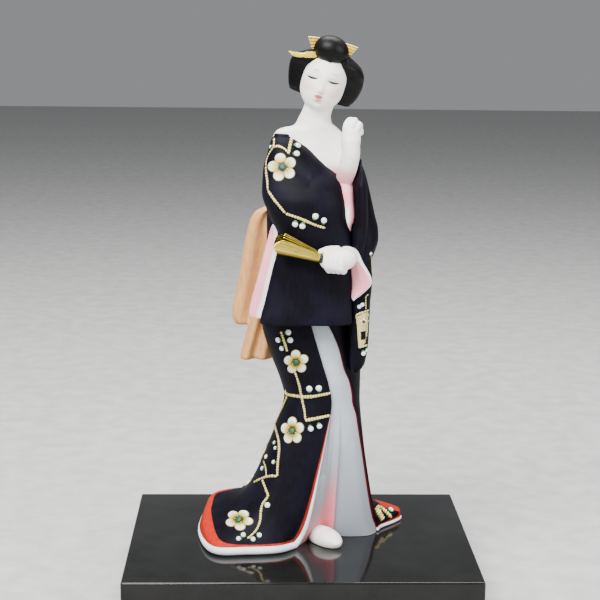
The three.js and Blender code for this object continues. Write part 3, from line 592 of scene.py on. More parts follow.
upperLeftSleeve = {
    "left": profile([222, 28], [260, 30], [300, 24], [307, 26]),
    "right": profile(
        [222, 50.6], [228, 52.4], [235, 55.4], [243, 57.3], [250, 57.1], [259, 55.0], [277, 50.8],
        [294, 46], [303, 41], [307, 36]),
    "front": profile([222, -30], [240, -30], [262, -18], [290, -14], [303, -9], [307, -3]),
    "back": profile([222, 10], [245, 17], [270, 17], [300, 14], [307, 8]),
    "power": 2.3}
hangingLeftSleeve = {
    "left": profile([140, 38], [142, 36.6], [152, 35.5], [200, 34], [228, 34]),
    "right": profile(
        [140, 42.5], [142, 45.5], [147, 48.6], [165, 50.9], [193, 51.6], [212, 52.8], [222, 52.2], [228, 52]),
    "front": profile([140, -21], [142, -25], [149, -27], [180, -30], [205, -31], [228, -28]),
    "back": profile([140, 2], [142, 7], [153, 10], [200, 12], [228, 12]),
    "power": 3}
leftForearm = [(47.6, -6, 246.5, 9.2), (47.4, -14, 243, 8.8), (46.8, -20, 239.5, 8)]


def leftSleeve():
    # arm, forearm and hanging cloth melted into one form
    grids = [
        plain(stack(upperLeftSleeve, 222, 307, columns=96)),
        plain(stack(hangingLeftSleeve, 139.6, 228, columns=96, edge=2)),
        plain(limb(leftForearm))]
    return carvedTogether("leftSleeve", grids, 0.7, 10)


cuffShape = {
    "low": 198.7, "high": 237.5, "thickness": 4, "bow": 3, "hollow": 2.2, "deep": 0.75,
    "start": profile([198.7, 36.6], [201.6, 35.6], [209.8, 36], [220.4, 35], [237.5, 34]),
    "edge": profile(
        [198.7, 38.1], [203, 42.8], [206.3, 46.6], [210.5, 50.3], [213, 51.2], [216, 50.6], [220.5, 48.6],
        [228.6, 43.8], [235.6, 40.6], [237.5, 39])}


def leftCuff():
    # leaf-shaped mouth of the left sleeve: a field between two edges at each height, bowed by a sine, its
    # lining hollowed inside a rounded white edge
    s = cuffShape

    def surface(u, v, side):
        # a field from start to edge at each height, bowed by a sine and hollowed on one face
        z = lerp(s["low"], s["high"], v)
        x = lerp(s["start"](z), s["edge"](z), u)
        hollow = s["hollow"] * ease(1 - u, 0.08, 0.45) * ease(v, 0.05, 0.3) * (side > 0)
        y = lerp(-31, -35, v) - s["thickness"] * side - s["bow"] * np.sin(math.pi * u) + hollow
        return joined(x, y, z)

    def white(u, v):
        # 1 in a strip along the edge, wider upwards, and along the foot, 0 elsewhere
        z = lerp(s["low"], s["high"], v)
        border = lerp(1.0, 2.6, ease(v, 0.45, 0.9))
        fromEdge = (1 - u) * (s["edge"](z) - s["start"](z))
        return 1 - ease(fromEdge, border, border + 1) * ease(v, 0.03, 0.09)

    def deep(u, v):
        # deeper towards the top and away from the edge
        return s["deep"] * ease(v, 0.3, 0.85) * ease(1 - u, 0.25, 0.7)
    return shell(surface, crowd(90), crowd(90), rim=(0.08, 0.05), white=white, deep=deep)


# obi
obiShape = {
    "knot": ((30, 14, 17), (-3, 31, 248)),             # radii and place
    "band": {"left": profile([184, -28], [262, -24.5]), "right": profile([184, 42], [262, 43]),
             "front": profile([184, -20], [262, -22]), "back": profile([184, 36], [262, 28.5]), "power": 2.2}}
obiFlaps = {                                           # both edges, then the numbers that flap takes
    "left": (profile([166, -53], [172, -55.3], [176, -55.5], [194, -52.3], [226, -46.8], [251, -41.4],
                     [258, -37], [263, -29]),
             profile([166, 0], [210, 4], [263, 4]), 166, 263, 28, 15, 0.04, 5, math.pi),
    "under": (profile([139, -49], [157, -45], [176, -40], [230, -28]),
              profile([139, -22.5], [153, -20], [170, -16], [230, -6]), 139, 230, 24, 10, -0.01, 4, 2.2),
    "right": (profile([158, 4], [220, -2], [260, -4]),
              profile([158, 44], [200, 39], [240, 31], [260, 22]), 158, 260, 31, 15, 0.05, 3, 0.0)}


def flap(left, right, bottom, top, depth, thickness, slope, folds, phase):
    # one hanging end of the bow: a field between two edges at each height, waved by a sine for its
    # lengthwise folds and gathered at the top, with rounded sides
    def surface(u, v, side):
        # depth is slope, fold and gather, and half the thickness times the rounding to either side
        z = lerp(bottom, top, v)
        gather = 0.9 * np.sin(9.5 * math.pi * u) * ease(v, 0.72, 1)
        fold = 2.6 * np.sin(math.pi * folds * u + phase) * (1 - 0.35 * v) + gather
        full = np.sqrt(np.clip(1 - (2 * u - 1) ** 4, 0, 1))
        y = depth + slope * (top - z) + fold - side * thickness * 0.5 * full
        return joined(lerp(left(z), right(z), u), y, z)
    return shell(surface, crowd(64), crowd(60), rim=(0.015, 0.035))


def obi():
    # a pinched ball for the knot, three hanging flaps and the band round the waist, melted into one form
    def pinched(p, sphere):
        # raised by the square of the way across, and drawn in along a line above the middle
        p[..., 2] += 3 * sphere[..., 0] ** 2
        p[..., 1] *= 1 - 0.2 * bump(sphere[..., 2], 0.1, 0.35)
        return p
    radii, place = obiShape["knot"]
    grids = [plain(moved(ball(radii, pinched), at(*place)))]
    for numbers in obiFlaps.values():
        grids += flap(*numbers)
    grids.append(plain(stack(obiShape["band"], 184, 262, columns=120)))
    return carvedTogether("obi", grids, 0.9, 6)


# head: degrees, then its centre at the height of the eyes
headSizes = {"tilt": 16.9, "turn": -4, "nod": 7, "centre": (13.6, -7, 363.5), "egg": (16.8, 19.5, 22.6)}
headTurned = turned(headSizes["tilt"], "Y") @ turned(headSizes["turn"], "Z") @ turned(headSizes["nod"], "X")
headPlace = at(*headSizes["centre"]) @ headTurned
faceRelief = {                                         # height, then place and width across, and the same up
    "nose": (2.2, 0, 2.0, -6.3, 3.2), "bridge": (1.1, 0, 1.8, 0.5, 5), "sockets": (-1.1, 7, 4.4, 1.2, 3.2),
    "lids": (0.7, 8, 3.2, 0.9, 1.6), "brows": (0.7, 7, 5, 7, 3), "cheeks": (0.7, 9, 5, -7.5, 5),
    "upperLip": (1.1, 0, 2.7, -11.6, 1.5), "lowerLip": (0.9, 0, 2.2, -14.2, 1.3),
    "underLip": (-0.8, 0, 3, -16.4, 1.2), "chin": (0.7, 0, 5, -20, 3)}


def faceShape(p, sphere):
    # an egg, fuller and further forward at the jaw, with each feature's relief added to the front as a
    # product of two bell curves
    x, y, z = (p[..., k].copy() for k in range(3))
    z = np.where(z < 0, -24.0 * np.clip(-sphere[..., 2], 0, 1) ** 0.84, z)
    x = x * np.where(z < 0, 1 + 0.04 * bump(z, -12, 6), 1 - 0.1 * (z / 23) ** 2)
    y = y - 0.32 * np.maximum(0, -z - 9)
    relief = 0.0
    for height, across, width, up, tall in faceRelief.values():
        relief = relief + height * bump(np.abs(x), across, width) * bump(z, up, tall)
    front = np.clip(-sphere[..., 1] * 2, 0, 1)
    return np.stack([x, y - relief * front, z], -1)


def skin():
    # face, neck and bare shoulders worked into one
    face = moved(ball(headSizes["egg"], faceShape, 120, 160), headPlace @ at(0.9, 0, 0))
    return carvedTogether("skin", [plain(face), plain(stack(chestShape, 262, 346, columns=120))], 0.53, 6)


hairShape = {
    "left": profile(
        [-15.6, -20.5], [-14, -23], [-11, -24.8], [-2.4, -27.4], [4, -28.2], [7.5, -27.6], [12, -24],
        [16, -18], [20, -11], [22.5, -6]),
    "right": profile(
        [-15.6, 21], [-14, 25], [-12, 26.8], [-6.7, 29.1], [0, 30.1], [7.5, 29.3], [14, 25.5],
        [17.3, 20.5], [20.8, 12.4], [22.5, 7]),
    "front": profile([-15.6, -2], [-12, -4.5], [-3, -5], [5, -6], [9, -8.5], [14, -10.5], [22.5, -5]),
    "back": profile([-15.6, 12], [-8, 20], [4, 22.5], [14, 20], [22.5, 12]),
    "power": 2.7}
hairBalls = {                                          # radii and place in the head
    "puff": ((13.2, 11, 10.6), (-0.6, -7.2, 22.8)), "peak": ((3.4, 2.6, 3), (0.6, -13.6, 17.0)),
    "nape": ((15, 12, 15.5), (0, 13, -6)), "roll": ((14.5, 12, 7.6), (0, 12.5, 20.5))}


def hair():
    # the two wings are stacked rings; puff, peak, nape and back roll are stretched balls melted into them
    def droop(p, sphere):
        # moved back in step with how low and how far behind the point lies on its ball
        p[..., 1] += 4.5 * np.clip(-sphere[..., 2], 0, 1) * np.clip(sphere[..., 1], 0, 1)
        return p

    def dent(p, sphere):
        # lowered in a bell-shaped groove down the middle
        p[..., 2] -= 2.2 * bump(sphere[..., 0], 0, 0.35)
        return p
    grids = [plain(moved(stack(hairShape, -15.6, 22.5, rows=50, columns=120, edge=2), headPlace))]
    for key, (radii, place) in hairBalls.items():
        worked = {"nape": droop, "roll": dent}.get(key)
        grids.append(plain(moved(ball(radii, worked), headPlace @ at(*place))))
    return carvedTogether("hair", grids, 0.5, 5)


# hands and foot: bars are stops of (x, y, z, radius), balls are radii and place
raisedArm = [(26, -8, 262, 6), (28.4, -15, 277, 6.4), (29.2, -23.5, 288, 6.5), (31.2, -31, 298, 7),
             (33.1, -35.5, 309, 6.9), (33, -35.5, 318, 6.7)]
raisedPalm = [((7.4, 5, 11), (33, -35.5, 320)), ((6, 7, 9), (33, -31, 324))]
raisedFingers = {
    "first": [(29.6, -35.8, 323, 3.3), (30.4, -35.2, 330, 3.3), (32.6, -32, 333.2, 3.3),
              (34, -28, 332, 3.2)],
    "second": [(32.8, -36.2, 324, 3), (34, -35.2, 331.2, 3), (35.6, -31.6, 333.4, 3),
               (36.6, -27.8, 331.4, 3)],
    "third": [(35.6, -36, 323, 2.9), (37.2, -35, 328.4, 2.9), (38.8, -31.4, 330.6, 2.9),
              (39.6, -28, 328.8, 2.9)],
    "fourth": [(36.8, -35.2, 319, 2.6), (38.2, -34.2, 324, 2.6), (39.8, -31, 326.6, 2.6),
               (40.4, -28.4, 325, 2.6)],
    "thumb": [(28.8, -33, 314, 2.6), (28.6, -28.5, 319, 2.6), (30.4, -25.5, 324, 2.6),
              (32.4, -25, 328, 2.6)]}


def raisedHand():
    # forearm, palm and five bent fingers melted into one form
    grids = [limb(raisedArm)]
    grids += [moved(ball(radii), at(*place)) for radii, place in raisedPalm]
    grids += [limb(stops, 24, 24) for stops in raisedFingers.values()]
    return carvedTogether("raisedHand", [plain(g) for g in grids], 0.4, 5)


fistArm = [(37.6, -30, 229, 5.6), (35, -36, 233.2, 6.2), (31, -41, 235, 6.6)]
fistPalm = [((12, 8.4, 8.8), (26, -46.5, 232.5)), ((10.5, 6.4, 7.6), (21, -49, 231.6))]
fistThumb = [(24, -44, 240, 2.4), (17, -47, 240, 2.4), (11.5, -49.5, 238.8, 2.0)]
fistFingers = {"count": 4, "gap": 3.5, "radius": 2.9}


def fanHand():
    # wrist, palm, thumb and four fingers curled round the fan, each a gap further on, melted into one form
    s = fistFingers
    grids = [limb(fistArm)] + [moved(ball(radii), at(*place)) for radii, place in fistPalm]
    grids.append(limb(fistThumb, 24, 24))
    for i in range(s["count"]):
        on, r = s["gap"] * i, s["radius"]
        grids.append(limb([
            (20 + on, -44, 239 - 0.6 * i, r), (16.4 + on, -51.8, 236.5 - 0.8 * i, r),
            (15.8 + on, -53.4, 229.5 - 0.8 * i, r), (17.8 + on, -49, 225.2 - 0.3 * i, r)], 24, 30))
    return carvedTogether("fanHand", [plain(g) for g in grids], 0.4, 4)


footSizes = {"radii": (9.2, 19, 8.6), "place": (18.6, -17.5, 4), "turn": 38, "sole": -4, "cleft": 0.9}


def foot():
    # the left foot in its split-toed sock: a ball cut flat underneath, with a shallow cleft, a bell curve,
    # beside the big toe
    s = footSizes

    def sock(p, sphere):
        # flatter above towards the toes, cut off at the sole, cleft at the great toe, wider at the ball
        toe = np.clip(-sphere[..., 1], 0, 1)
        z = p[..., 2]
        p[..., 2] = np.where(z > 0, z * (1 - 0.35 * toe ** 3), np.maximum(z, s["sole"]))
        p[..., 2] -= s["cleft"] * bump(p[..., 0], -3.2, 1.1) * ease(toe, 0.5, 0.8) * (z > 0)
        p[..., 0] *= 1 + 0.1 * bump(toe, 0.6, 0.3)
        return p
    return [plain(moved(ball(s["radii"], sock, 80, 120), at(*s["place"]) @ turned(s["turn"], "Z")))]


# plinth
plinthSizes = {"edge": 1.6, "segments": 6, "flank": 8}     # the flat flank begins this far from top and foot


def plinth():
    # a block with rounded edges: its outline, a rectangle with small corners, is carried up a profile
    # that turns in at the top and the bottom
    low, high = np.array(plinthLow) * 1000, np.array(plinthHigh) * 1000
    half, centre = (high - low) / 2, (high + low) / 2
    edge, flank = plinthSizes["edge"], plinthSizes["flank"]
    turn = np.linspace(0, math.pi / 2, plinthSizes["segments"] + 1)
    corner = []
    for k, (sx, sy) in enumerate(((1, -1), (1, 1), (-1, 1), (-1, -1))):
        a = turn - math.pi / 2 + k * math.pi / 2
        x, y = sx * (half[0] - edge) + edge * np.cos(a), sy * (half[1] - edge) + edge * np.sin(a)
        corner.append(np.column_stack([x, y]))
    ring = np.concatenate(corner)
    way = unit(np.sign(ring) * np.maximum(np.abs(ring) - half[:2] + edge, 0))
    core = ring - way * edge
    grow = np.concatenate([np.sin(turn), [1, 1], np.sin(turn[::-1])]) * edge
    rise = edge * (1 - np.cos(turn))
    z = np.concatenate([low[2] + rise, [low[2] + flank, high[2] - flank], (high[2] - rise)[::-1]])
    wall = core[None] + way[None] * grow[:, None, None]
    wall = np.concatenate([wall, np.broadcast_to(z[:, None, None], wall.shape[:2] + (1,))], -1)
    grid = closeEnds(wall) + np.array([centre[0], centre[1], -ground * 1000])
    return [plain((grid / share, True))]


# shader helpers
def node(tree, kind, inputs=None, **settings):
    # one node; its inputs are values or sockets to link
    made = tree.nodes.new(kind)
    for key, value in settings.items():
        setattr(made, key, value)
    for key, value in (inputs or {}).items():
        if isinstance(value, bpy.types.NodeSocket):
            tree.links.new(value, made.inputs[key])
        else:
            made.inputs[key].default_value = value
    return made


def maths(tree, operation, *values):
    # one Math node on values or sockets
    return node(tree, "ShaderNodeMath", dict(enumerate(values)), operation=operation).outputs[0]


def times(tree, a, b):
    # product of two values
    return maths(tree, "MULTIPLY", a, b)


def plus(tree, a, b):
    # sum of two values
    return maths(tree, "ADD", a, b)


def minus(tree, a, b):
    # first value less the second
    return maths(tree, "SUBTRACT", a, b)


def weighed(tree, a, weightA, b, weightB):
    # sum of two values, each times its weight
    return plus(tree, times(tree, a, weightA), times(tree, b, weightB))


def step(tree, value, low, high, start=0.0, end=1.0):
    # smooth step from start to end as the value goes from low to high
    inputs = {"Value": value, "From Min": low, "From Max": high, "To Min": start, "To Max": end}
    return node(tree, "ShaderNodeMapRange", inputs, interpolation_type="SMOOTHSTEP").outputs["Result"]


def blend(tree, part, a, b):
    # colour a where part is 0, colour b where it is 1
    a, b = ((*c, 1) if isinstance(c, tuple) else c for c in (a, b))
    return node(tree, "ShaderNodeMix", {0: part, 6: a, 7: b}, data_type="RGBA").outputs[2]


def noise(tree, where, scale, detail=3.0, rough=0.55):
    # cloudy noise between 0 and 1
    inputs = {"Vector": where, "Scale": scale, "Detail": detail, "Roughness": rough}
    return node(tree, "ShaderNodeTexNoise", inputs).outputs["Fac"]


def attribute(tree, name):
    # a mark of the mesh, such as the way from the hem
    return node(tree, "ShaderNodeAttribute", attribute_name=name).outputs["Fac"]


def objectPlace(tree):
    # the point's own place in metres
    return node(tree, "ShaderNodeTexCoord").outputs["Object"]


def split(tree, place):
    # x, y and z of a place
    return node(tree, "ShaderNodeSeparateXYZ", {0: place}).outputs


def newGroup(name, inputs, outputs):
    # node group with named sockets; inputs are name and default, outputs are name and kind
    group = bpy.data.node_groups.new(name, "ShaderNodeTree")
    for key, default in inputs.items():
        socket = group.interface.new_socket(key, in_out="INPUT", socket_type="NodeSocketFloat")
        socket.default_value = default
    for key, kind in outputs.items():
        group.interface.new_socket(key, in_out="OUTPUT", socket_type="NodeSocket" + kind)
    return group, group.nodes.new("NodeGroupInput").outputs, group.nodes.new("NodeGroupOutput").inputs


grainScales = {"fine": 1500.0, "soft": 260.0, "streak": 620.0, "cloud": 42.0, "stretch": 0.16}     # per metre


def clayGrainGroup():
    # fired clay under brushed paint: fine grain and soft unevenness for the height, slow clouds for
    # the colour, and streaks where the brush ran downwards
    s = grainScales
    group, given, out = newGroup("clayGrain", {"Grain Size": 1.0, "Brush": 0.5},
                                 {"Height": "Float", "Cloud": "Float", "Streak": "Float"})
    place = objectPlace(group)
    fine = noise(group, place, maths(group, "DIVIDE", s["fine"], given["Grain Size"]), 2.0)
    soft = noise(group, place, maths(group, "DIVIDE", s["soft"], given["Grain Size"]))
    drawn = node(group, "ShaderNodeMapping", {"Vector": place, "Scale": (1.0, 1.0, s["stretch"])}).outputs[0]
    streak = noise(group, drawn, s["streak"], 3.0, 0.6)
    brushed = times(group, streak, times(group, given["Brush"], 0.6))
    height = plus(group, weighed(group, fine, 0.45, soft, 0.55), brushed)
    group.links.new(height, out["Height"])
    group.links.new(noise(group, place, s["cloud"], 4.0, 0.6), out["Cloud"])
    group.links.new(streak, out["Streak"])
    return group


def paintStrokeGroup():
    # one soft stroke of paint in the plane of the face, an ellipse about a bowed and sloping line: centre,
    # half sizes, sag of its middle, slope
    group, given, out = newGroup("paintStroke", {
        "Across": 0.0, "Up": 0.0, "Centre Across": 0.0, "Centre Up": 0.0, "Half Length": 3.0,
        "Half Width": 0.5, "Sag": 0.0, "Slope": 0.0, "Soft": 0.6}, {"Mask": "Float"})
    x = minus(group, given["Across"], given["Centre Across"])
    z = minus(group, given["Up"], given["Centre Up"])
    u = maths(group, "DIVIDE", x, given["Half Length"])
    square = times(group, u, u)
    line = weighed(group, given["Sag"], minus(group, square, 1.0), given["Slope"], x)
    v = maths(group, "DIVIDE", minus(group, z, line), given["Half Width"])
    far = plus(group, square, times(group, v, v))
    low, high = minus(group, 1.0, given["Soft"]), plus(group, 1.0, given["Soft"])
    group.links.new(step(group, far, low, high, 1.0, 0.0), out["Mask"])
    return group


clayGrain = clayGrainGroup()
paintStroke = paintStrokeGroup()


def useGroup(tree, group, inputs):
    # a node group placed in a tree with its own values
    return node(tree, "ShaderNodeGroup", inputs, node_tree=group).outputs


def paint(name, colour=None, roughness=(0.5, 0.62), relief=0.00006, grainSize=1.0, brush=0.4, shade=0.06,
          build=None, sockets=None):
    # a painted or polished finish: colour clouded a little by the clay beneath, roughness and height from
    # the grain; build(tree, grain) may give the colour instead, and sockets hold the shader's plain values
    material = bpy.data.materials.new(name)
    material.use_nodes = True
    tree = material.node_tree
    shader = tree.nodes["Principled BSDF"]
    grain = useGroup(tree, clayGrain, {"Grain Size": grainSize, "Brush": brush})
    if build:
        base = build(tree, grain)
    else:
        deep = tuple(c * (1 - 2 * shade) for c in colour)
        bright = tuple(min(1, c * (1 + shade)) for c in colour)
        base = blend(tree, step(tree, grain["Cloud"], 0.3, 0.7), deep, bright)
    tree.links.new(base, shader.inputs["Base Color"])
    wear = weighed(tree, grain["Cloud"], 0.6, grain["Streak"], 0.4)
    tree.links.new(step(tree, wear, 0.3, 0.7, *roughness), shader.inputs["Roughness"])
    raised = node(tree, "ShaderNodeBump", {"Height": grain["Height"], "Distance": relief, "Strength": 1.0})
    tree.links.new(raised.outputs[0], shader.inputs["Normal"])
    for key, value in (sockets or {}).items():
        shader.inputs[key].default_value = value
    return material


tints = {                                              # two tones of each paint, mixed by the grain
    "navy": ((0.0014, 0.0009, 0.0022), (0.0044, 0.0039, 0.0105)),
    "red": ((0.30, 0.013, 0.005), (0.40, 0.022, 0.008)),
    "robe": ((0.38, 0.41, 0.455), (0.46, 0.49, 0.53)),
    "lining": ((0.88, 0.31, 0.38), (0.92, 0.40, 0.45)),
    "skin": ((0.87, 0.835, 0.76), (0.93, 0.91, 0.85)),
    "hair": ((0.002, 0.0018, 0.0019), (0.0055, 0.005, 0.005)),
    "obi": ((0.50, 0.24, 0.085), (0.60, 0.315, 0.125)),
    "petal": ((0.74, 0.71, 0.64), (0.88, 0.87, 0.83)),
    # the gold paste's two tones are painted shade and painted highlight, mixed by the ridge mark
    "goldPasteShadeAndHighlight": ((0.075, 0.055, 0.006), (0.76, 0.64, 0.26)),
    "goldCloth": ((0.36, 0.23, 0.008), (0.72, 0.54, 0.04)),
    "goldLeaf": ((0.74, 0.56, 0.08), (0.92, 0.72, 0.13)),
    "lacquer": ((0.006, 0.006, 0.0058), (0.009, 0.009, 0.0085))}
accents = {                                            # single colours laid over them
    "rightLineShade": (0.085, 0.004, 0.005), "robeLowShade": (0.235, 0.255, 0.285), "robeRecessShade": (0.30, 0.31, 0.37),
    "robeBlush": (0.80, 0.16, 0.19), "liningDeep": (0.66, 0.20, 0.22), "liningBorder": (0.86, 0.85, 0.86),
    "breast": (0.86, 0.43, 0.46), "obiFold": (0.44, 0.175, 0.06), "petalInner": (0.50, 0.36, 0.0),
    "petalRim": (0.15, 0.125, 0.006), "petalRays": (0.03, 0.026, 0.001), "clothBorder": (0.80, 0.70, 0.30),
    "giltShade": (0.045, 0.031, 0.004)}


def clouded(tree, grain, name, mark="Cloud", low=0.3, high=0.7):
    # a paint's two tones, mixed by one mark of the grain
    return blend(tree, step(tree, grain[mark], low, high), *tints[name])


def darkPaint(tree, grain):
    # blue-black paint, a little bluer and lighter where it is thin
    thin = weighed(tree, grain["Cloud"], 0.7, grain["Streak"], 0.3)
    return blend(tree, step(tree, thin, 0.35, 0.7), *tints["navy"])


skirtLines = {                                         # red line down the front edges, widths and tops
    "width": 0.8, "leftWidth": 4.4, "leftTaper": 0.028, "leftTop": 103.0, "rightTop": 175.0, "wobble": 1.2}


def skirtColour(tree, grain):
    # blue-black, with the red band inside the hem and a fine red line down each front edge; the right edge's
    # line is a much darker red, painted shade
    s = skirtLines
    base = darkPaint(tree, grain)
    wobble = times(tree, minus(tree, grain["Cloud"], 0.5), s["wobble"])
    fromHem, band = attribute(tree, "fromHem"), attribute(tree, "bandWidth")
    inBand = step(tree, plus(tree, minus(tree, band, fromHem), wobble), -0.15, 0.25)
    fromEdge, left = attribute(tree, "fromEdge"), attribute(tree, "leftEdge")
    wide = minus(tree, s["leftWidth"], times(tree, fromHem, s["leftTaper"]))
    lineWidth = maths(tree, "MAXIMUM", s["width"], times(tree, left, wide))
    inLine = step(tree, minus(tree, lineWidth, fromEdge), -0.15, 0.3)
    top = weighed(tree, left, s["leftTop"], minus(tree, 1.0, left), s["rightTop"])
    inLine = times(tree, inLine, step(tree, minus(tree, top, fromHem), -6.0, 6.0))
    red = clouded(tree, grain, "red", "Streak", 0.35, 0.65)
    # the left edge's line is the red itself, the right edge's line the dark red of painted shade
    lineRedShadedRight = blend(tree, left, accents["rightLineShade"], red)
    return blend(tree, inBand, blend(tree, inLine, base, lineRedShadedRight), red)


def robeColour(tree, grain):
    # pale blue-white, greyer towards the ground as painted shade, blushing to pink low down beside the fold,
    # and a touch darker in the recess as painted shade
    height = split(tree, objectPlace(tree))[2]
    # painted shade: the robe greys towards the ground
    low = step(tree, height, ground, ground + 125 * share / 1000, 1.0, 0.0)
    pale = blend(tree, low, clouded(tree, grain, "robe"), accents["robeLowShade"])
    # painted shade in the recess along the fold
    recess = times(tree, attribute(tree, "recess"), 0.35)
    pale = blend(tree, recess, pale, accents["robeRecessShade"])
    return blend(tree, attribute(tree, "blush"), pale, accents["robeBlush"])


def liningColour(tree, grain):
    # pink, deeper where the attribute says, white along the piece's edge
    pink = blend(tree, attribute(tree, "deep"), clouded(tree, grain, "lining"), accents["liningDeep"])
    return blend(tree, attribute(tree, "white"), pink, accents["liningBorder"])


faceMarks = {                                          # millimetres in the face, colour and strength
    "cheekLeft": ((-11, -5.5, 5.4, 4.8, 0.0, 0.0, 1.0), (0.86, 0.40, 0.38), 0.34),
    "cheekRight": ((10.5, -6.5, 5.4, 4.8, 0.0, 0.0, 1.0), (0.88, 0.42, 0.34), 0.38),
    "aroundMouth": ((1.2, -12.9, 5.6, 3.2, 0.0, 0.0, 1.0), (0.84, 0.46, 0.42), 0.34),
    # painted shade: soft grey over the closed eyes
    "lidShadeLeft": ((-8.0, 1.6, 4.2, 1.4, 0.2, 0.1, 0.9), (0.42, 0.37, 0.33), 0.38),
    "lidShadeRight": ((8.4, 2.7, 4.4, 1.4, 0.2, 0.0, 0.9), (0.42, 0.37, 0.33), 0.38),
    "eyeLeft": ((-7.9, 0.9, 4.3, 0.85, 0.6, 0.12, 0.6), (0.006, 0.005, 0.005), 1.0),
    "eyeRight": ((8.3, 1.9, 4.4, 0.85, 0.6, 0.0, 0.6), (0.006, 0.005, 0.005), 1.0),
    "browLeft": ((-6.0, 7.0, 2.3, 0.6, -0.2, 0.05, 0.9), (0.20, 0.19, 0.17), 0.5),
    "browRight": ((7.4, 7.5, 2.6, 0.6, -0.2, -0.1, 0.9), (0.20, 0.19, 0.17), 0.45),
    # painted shadow under and beside the nose
    "nose": ((1.6, -8.4, 2.7, 0.9, 0.0, 0.05, 1.0), (0.34, 0.29, 0.27), 0.5),
    "upperLip": ((0.8, -11.3, 3.1, 1.05, -0.4, 0.1, 0.5), (0.34, 0.05, 0.045), 0.95),
    "lowerLip": ((1.2, -13.4, 2.3, 1.1, 0.3, 0.0, 0.6), (0.56, 0.14, 0.12), 0.75),
    "mouth": ((1.0, -12.3, 2.5, 0.35, -0.2, 0.05, 0.6), (0.09, 0.012, 0.012), 0.9)}
markSockets = ("Centre Across", "Centre Up", "Half Length", "Half Width", "Sag", "Slope", "Soft")
breastPink = {"top": (294, 302), "foot": (260, 264), "right": (35.5, 38), "left": (14, 24)}    # its soft ends


def skinColour(tree, grain):
    # chalk-white skin, warmer in soft clouds, with the face painted on in the head's own frame
    base = clouded(tree, grain, "skin")
    size = share / 1000
    inHead = node(tree, "ShaderNodeMapping", {
        "Vector": objectPlace(tree), "Location": Vector(toFrame(headSizes["centre"])),
        "Rotation": headTurned.to_euler("XYZ"), "Scale": (size, size, size)}, vector_type="TEXTURE")
    x, y, z = split(tree, inHead.outputs[0])
    ahead = maths(tree, "LESS_THAN", y, -6.0)
    # painted features and blush, with painted shade over the eyes and under the nose
    for sizes, colour, strength in faceMarks.values():
        mask = useGroup(tree, paintStroke, {"Across": x, "Up": z, **dict(zip(markSockets, sizes))})["Mask"]
        mask = times(tree, times(tree, mask, strength), ahead)
        base = blend(tree, mask, base, colour)
    # the breast turns pink where the lining begins
    x, y, z = split(tree, objectPlace(tree))
    top, low = ([ground + h * size for h in breastPink[k]] for k in ("top", "foot"))
    right, left = ([w * size for w in breastPink[k]] for k in ("right", "left"))
    upright = times(tree, step(tree, z, *top, 1.0, 0.0), step(tree, z, *low))
    level = times(tree, step(tree, x, *right, 1.0, 0.0), step(tree, x, *left))
    return blend(tree, times(tree, upright, level), base, accents["breast"])


def hairColour(tree, grain):
    # near black, hardly clouded
    return clouded(tree, grain, "hair", low=0.35)


def obiColour(tree, grain):
    # peach streaked by the brush, browner in soft clouds
    peach = clouded(tree, grain, "obi", "Streak")
    worn = times(tree, step(tree, grain["Cloud"], 0.45, 0.75), 0.5)
    return blend(tree, worn, peach, accents["obiFold"])


def petalColour(tree, grain):
    # white petals with olive rims, turning yellow inwards, and dark olive rays round the heart
    fromHeart, fromRim = attribute(tree, "fromHeart"), attribute(tree, "fromRim")
    white = clouded(tree, grain, "petal")
    yellow = blend(tree, step(tree, fromHeart, 0.40, 0.86), accents["petalInner"], white)
    rim = blend(tree, step(tree, fromRim, 0.05, 0.24), accents["petalRim"], yellow)
    rays = maths(tree, "SINE", times(tree, attribute(tree, "turn"), 25.0))
    reach = plus(tree, 0.38, times(tree, rays, 0.08))
    heart = step(tree, minus(tree, reach, fromHeart), -0.05, 0.06)
    return blend(tree, heart, rim, accents["petalRays"])


def goldPaintColour(tree, grain):
    # raised gold paste: cream on its ridges as painted highlight, olive brown in its pits and along its sides
    # as painted shade
    ridge = plus(tree, attribute(tree, "ridge"), times(tree, grain["Height"], 0.6))
    return blend(tree, step(tree, ridge, 0.4, 1.1), *tints["goldPasteShadeAndHighlight"])


def goldClothColour(tree, grain):
    # gilt cloth: small bright knots on a deeper ground, with a pale border
    knots = clouded(tree, grain, "goldCloth", "Height", 0.42, 0.58)
    return blend(tree, attribute(tree, "white"), knots, accents["clothBorder"])


def goldLeafColour(tree, grain):
    # bright gilding, browned as painted shade where the attribute says
    return blend(tree, attribute(tree, "dark"), clouded(tree, grain, "goldLeaf"), accents["giltShade"])


def lacquerColour(tree, grain):
    # deep black, hardly clouded
    return clouded(tree, grain, "lacquer")


darkFinish = {"brush": 0.5, "sockets": {"Specular IOR Level": 0.08}}
kimonoPaint = paint("kimonoPaint", build=darkPaint, **darkFinish)
skirtPaint = paint("skirtPaint", build=skirtColour, **darkFinish)
robePaint = paint("robePaint", build=robeColour, roughness=(0.55, 0.7), sockets={"Specular IOR Level": 0.3})
hemPaint = paint("hemPaint", (0.74, 0.76, 0.79), roughness=(0.45, 0.6))
sockPaint = paint("sockPaint", (0.86, 0.83, 0.78), roughness=(0.5, 0.65))
skinPaint = paint("skinPaint", build=skinColour, relief=0.00003)
hairPaint = paint("hairPaint", build=hairColour, roughness=(0.34, 0.46), relief=0.00012, brush=0.9,
                  sockets={"Specular IOR Level": 0.12})
liningPaint = paint("liningPaint", build=liningColour, roughness=(0.55, 0.68),
                    sockets={"Specular IOR Level": 0.3})
obiPaint = paint("obiPaint", build=obiColour, roughness=(0.55, 0.7), brush=0.9,
                 sockets={"Specular IOR Level": 0.3})
petalPaint = paint("petalPaint", build=petalColour, roughness=(0.4, 0.55))
budPaint = paint("budPaint", (0.80, 0.83, 0.80), roughness=(0.35, 0.5))
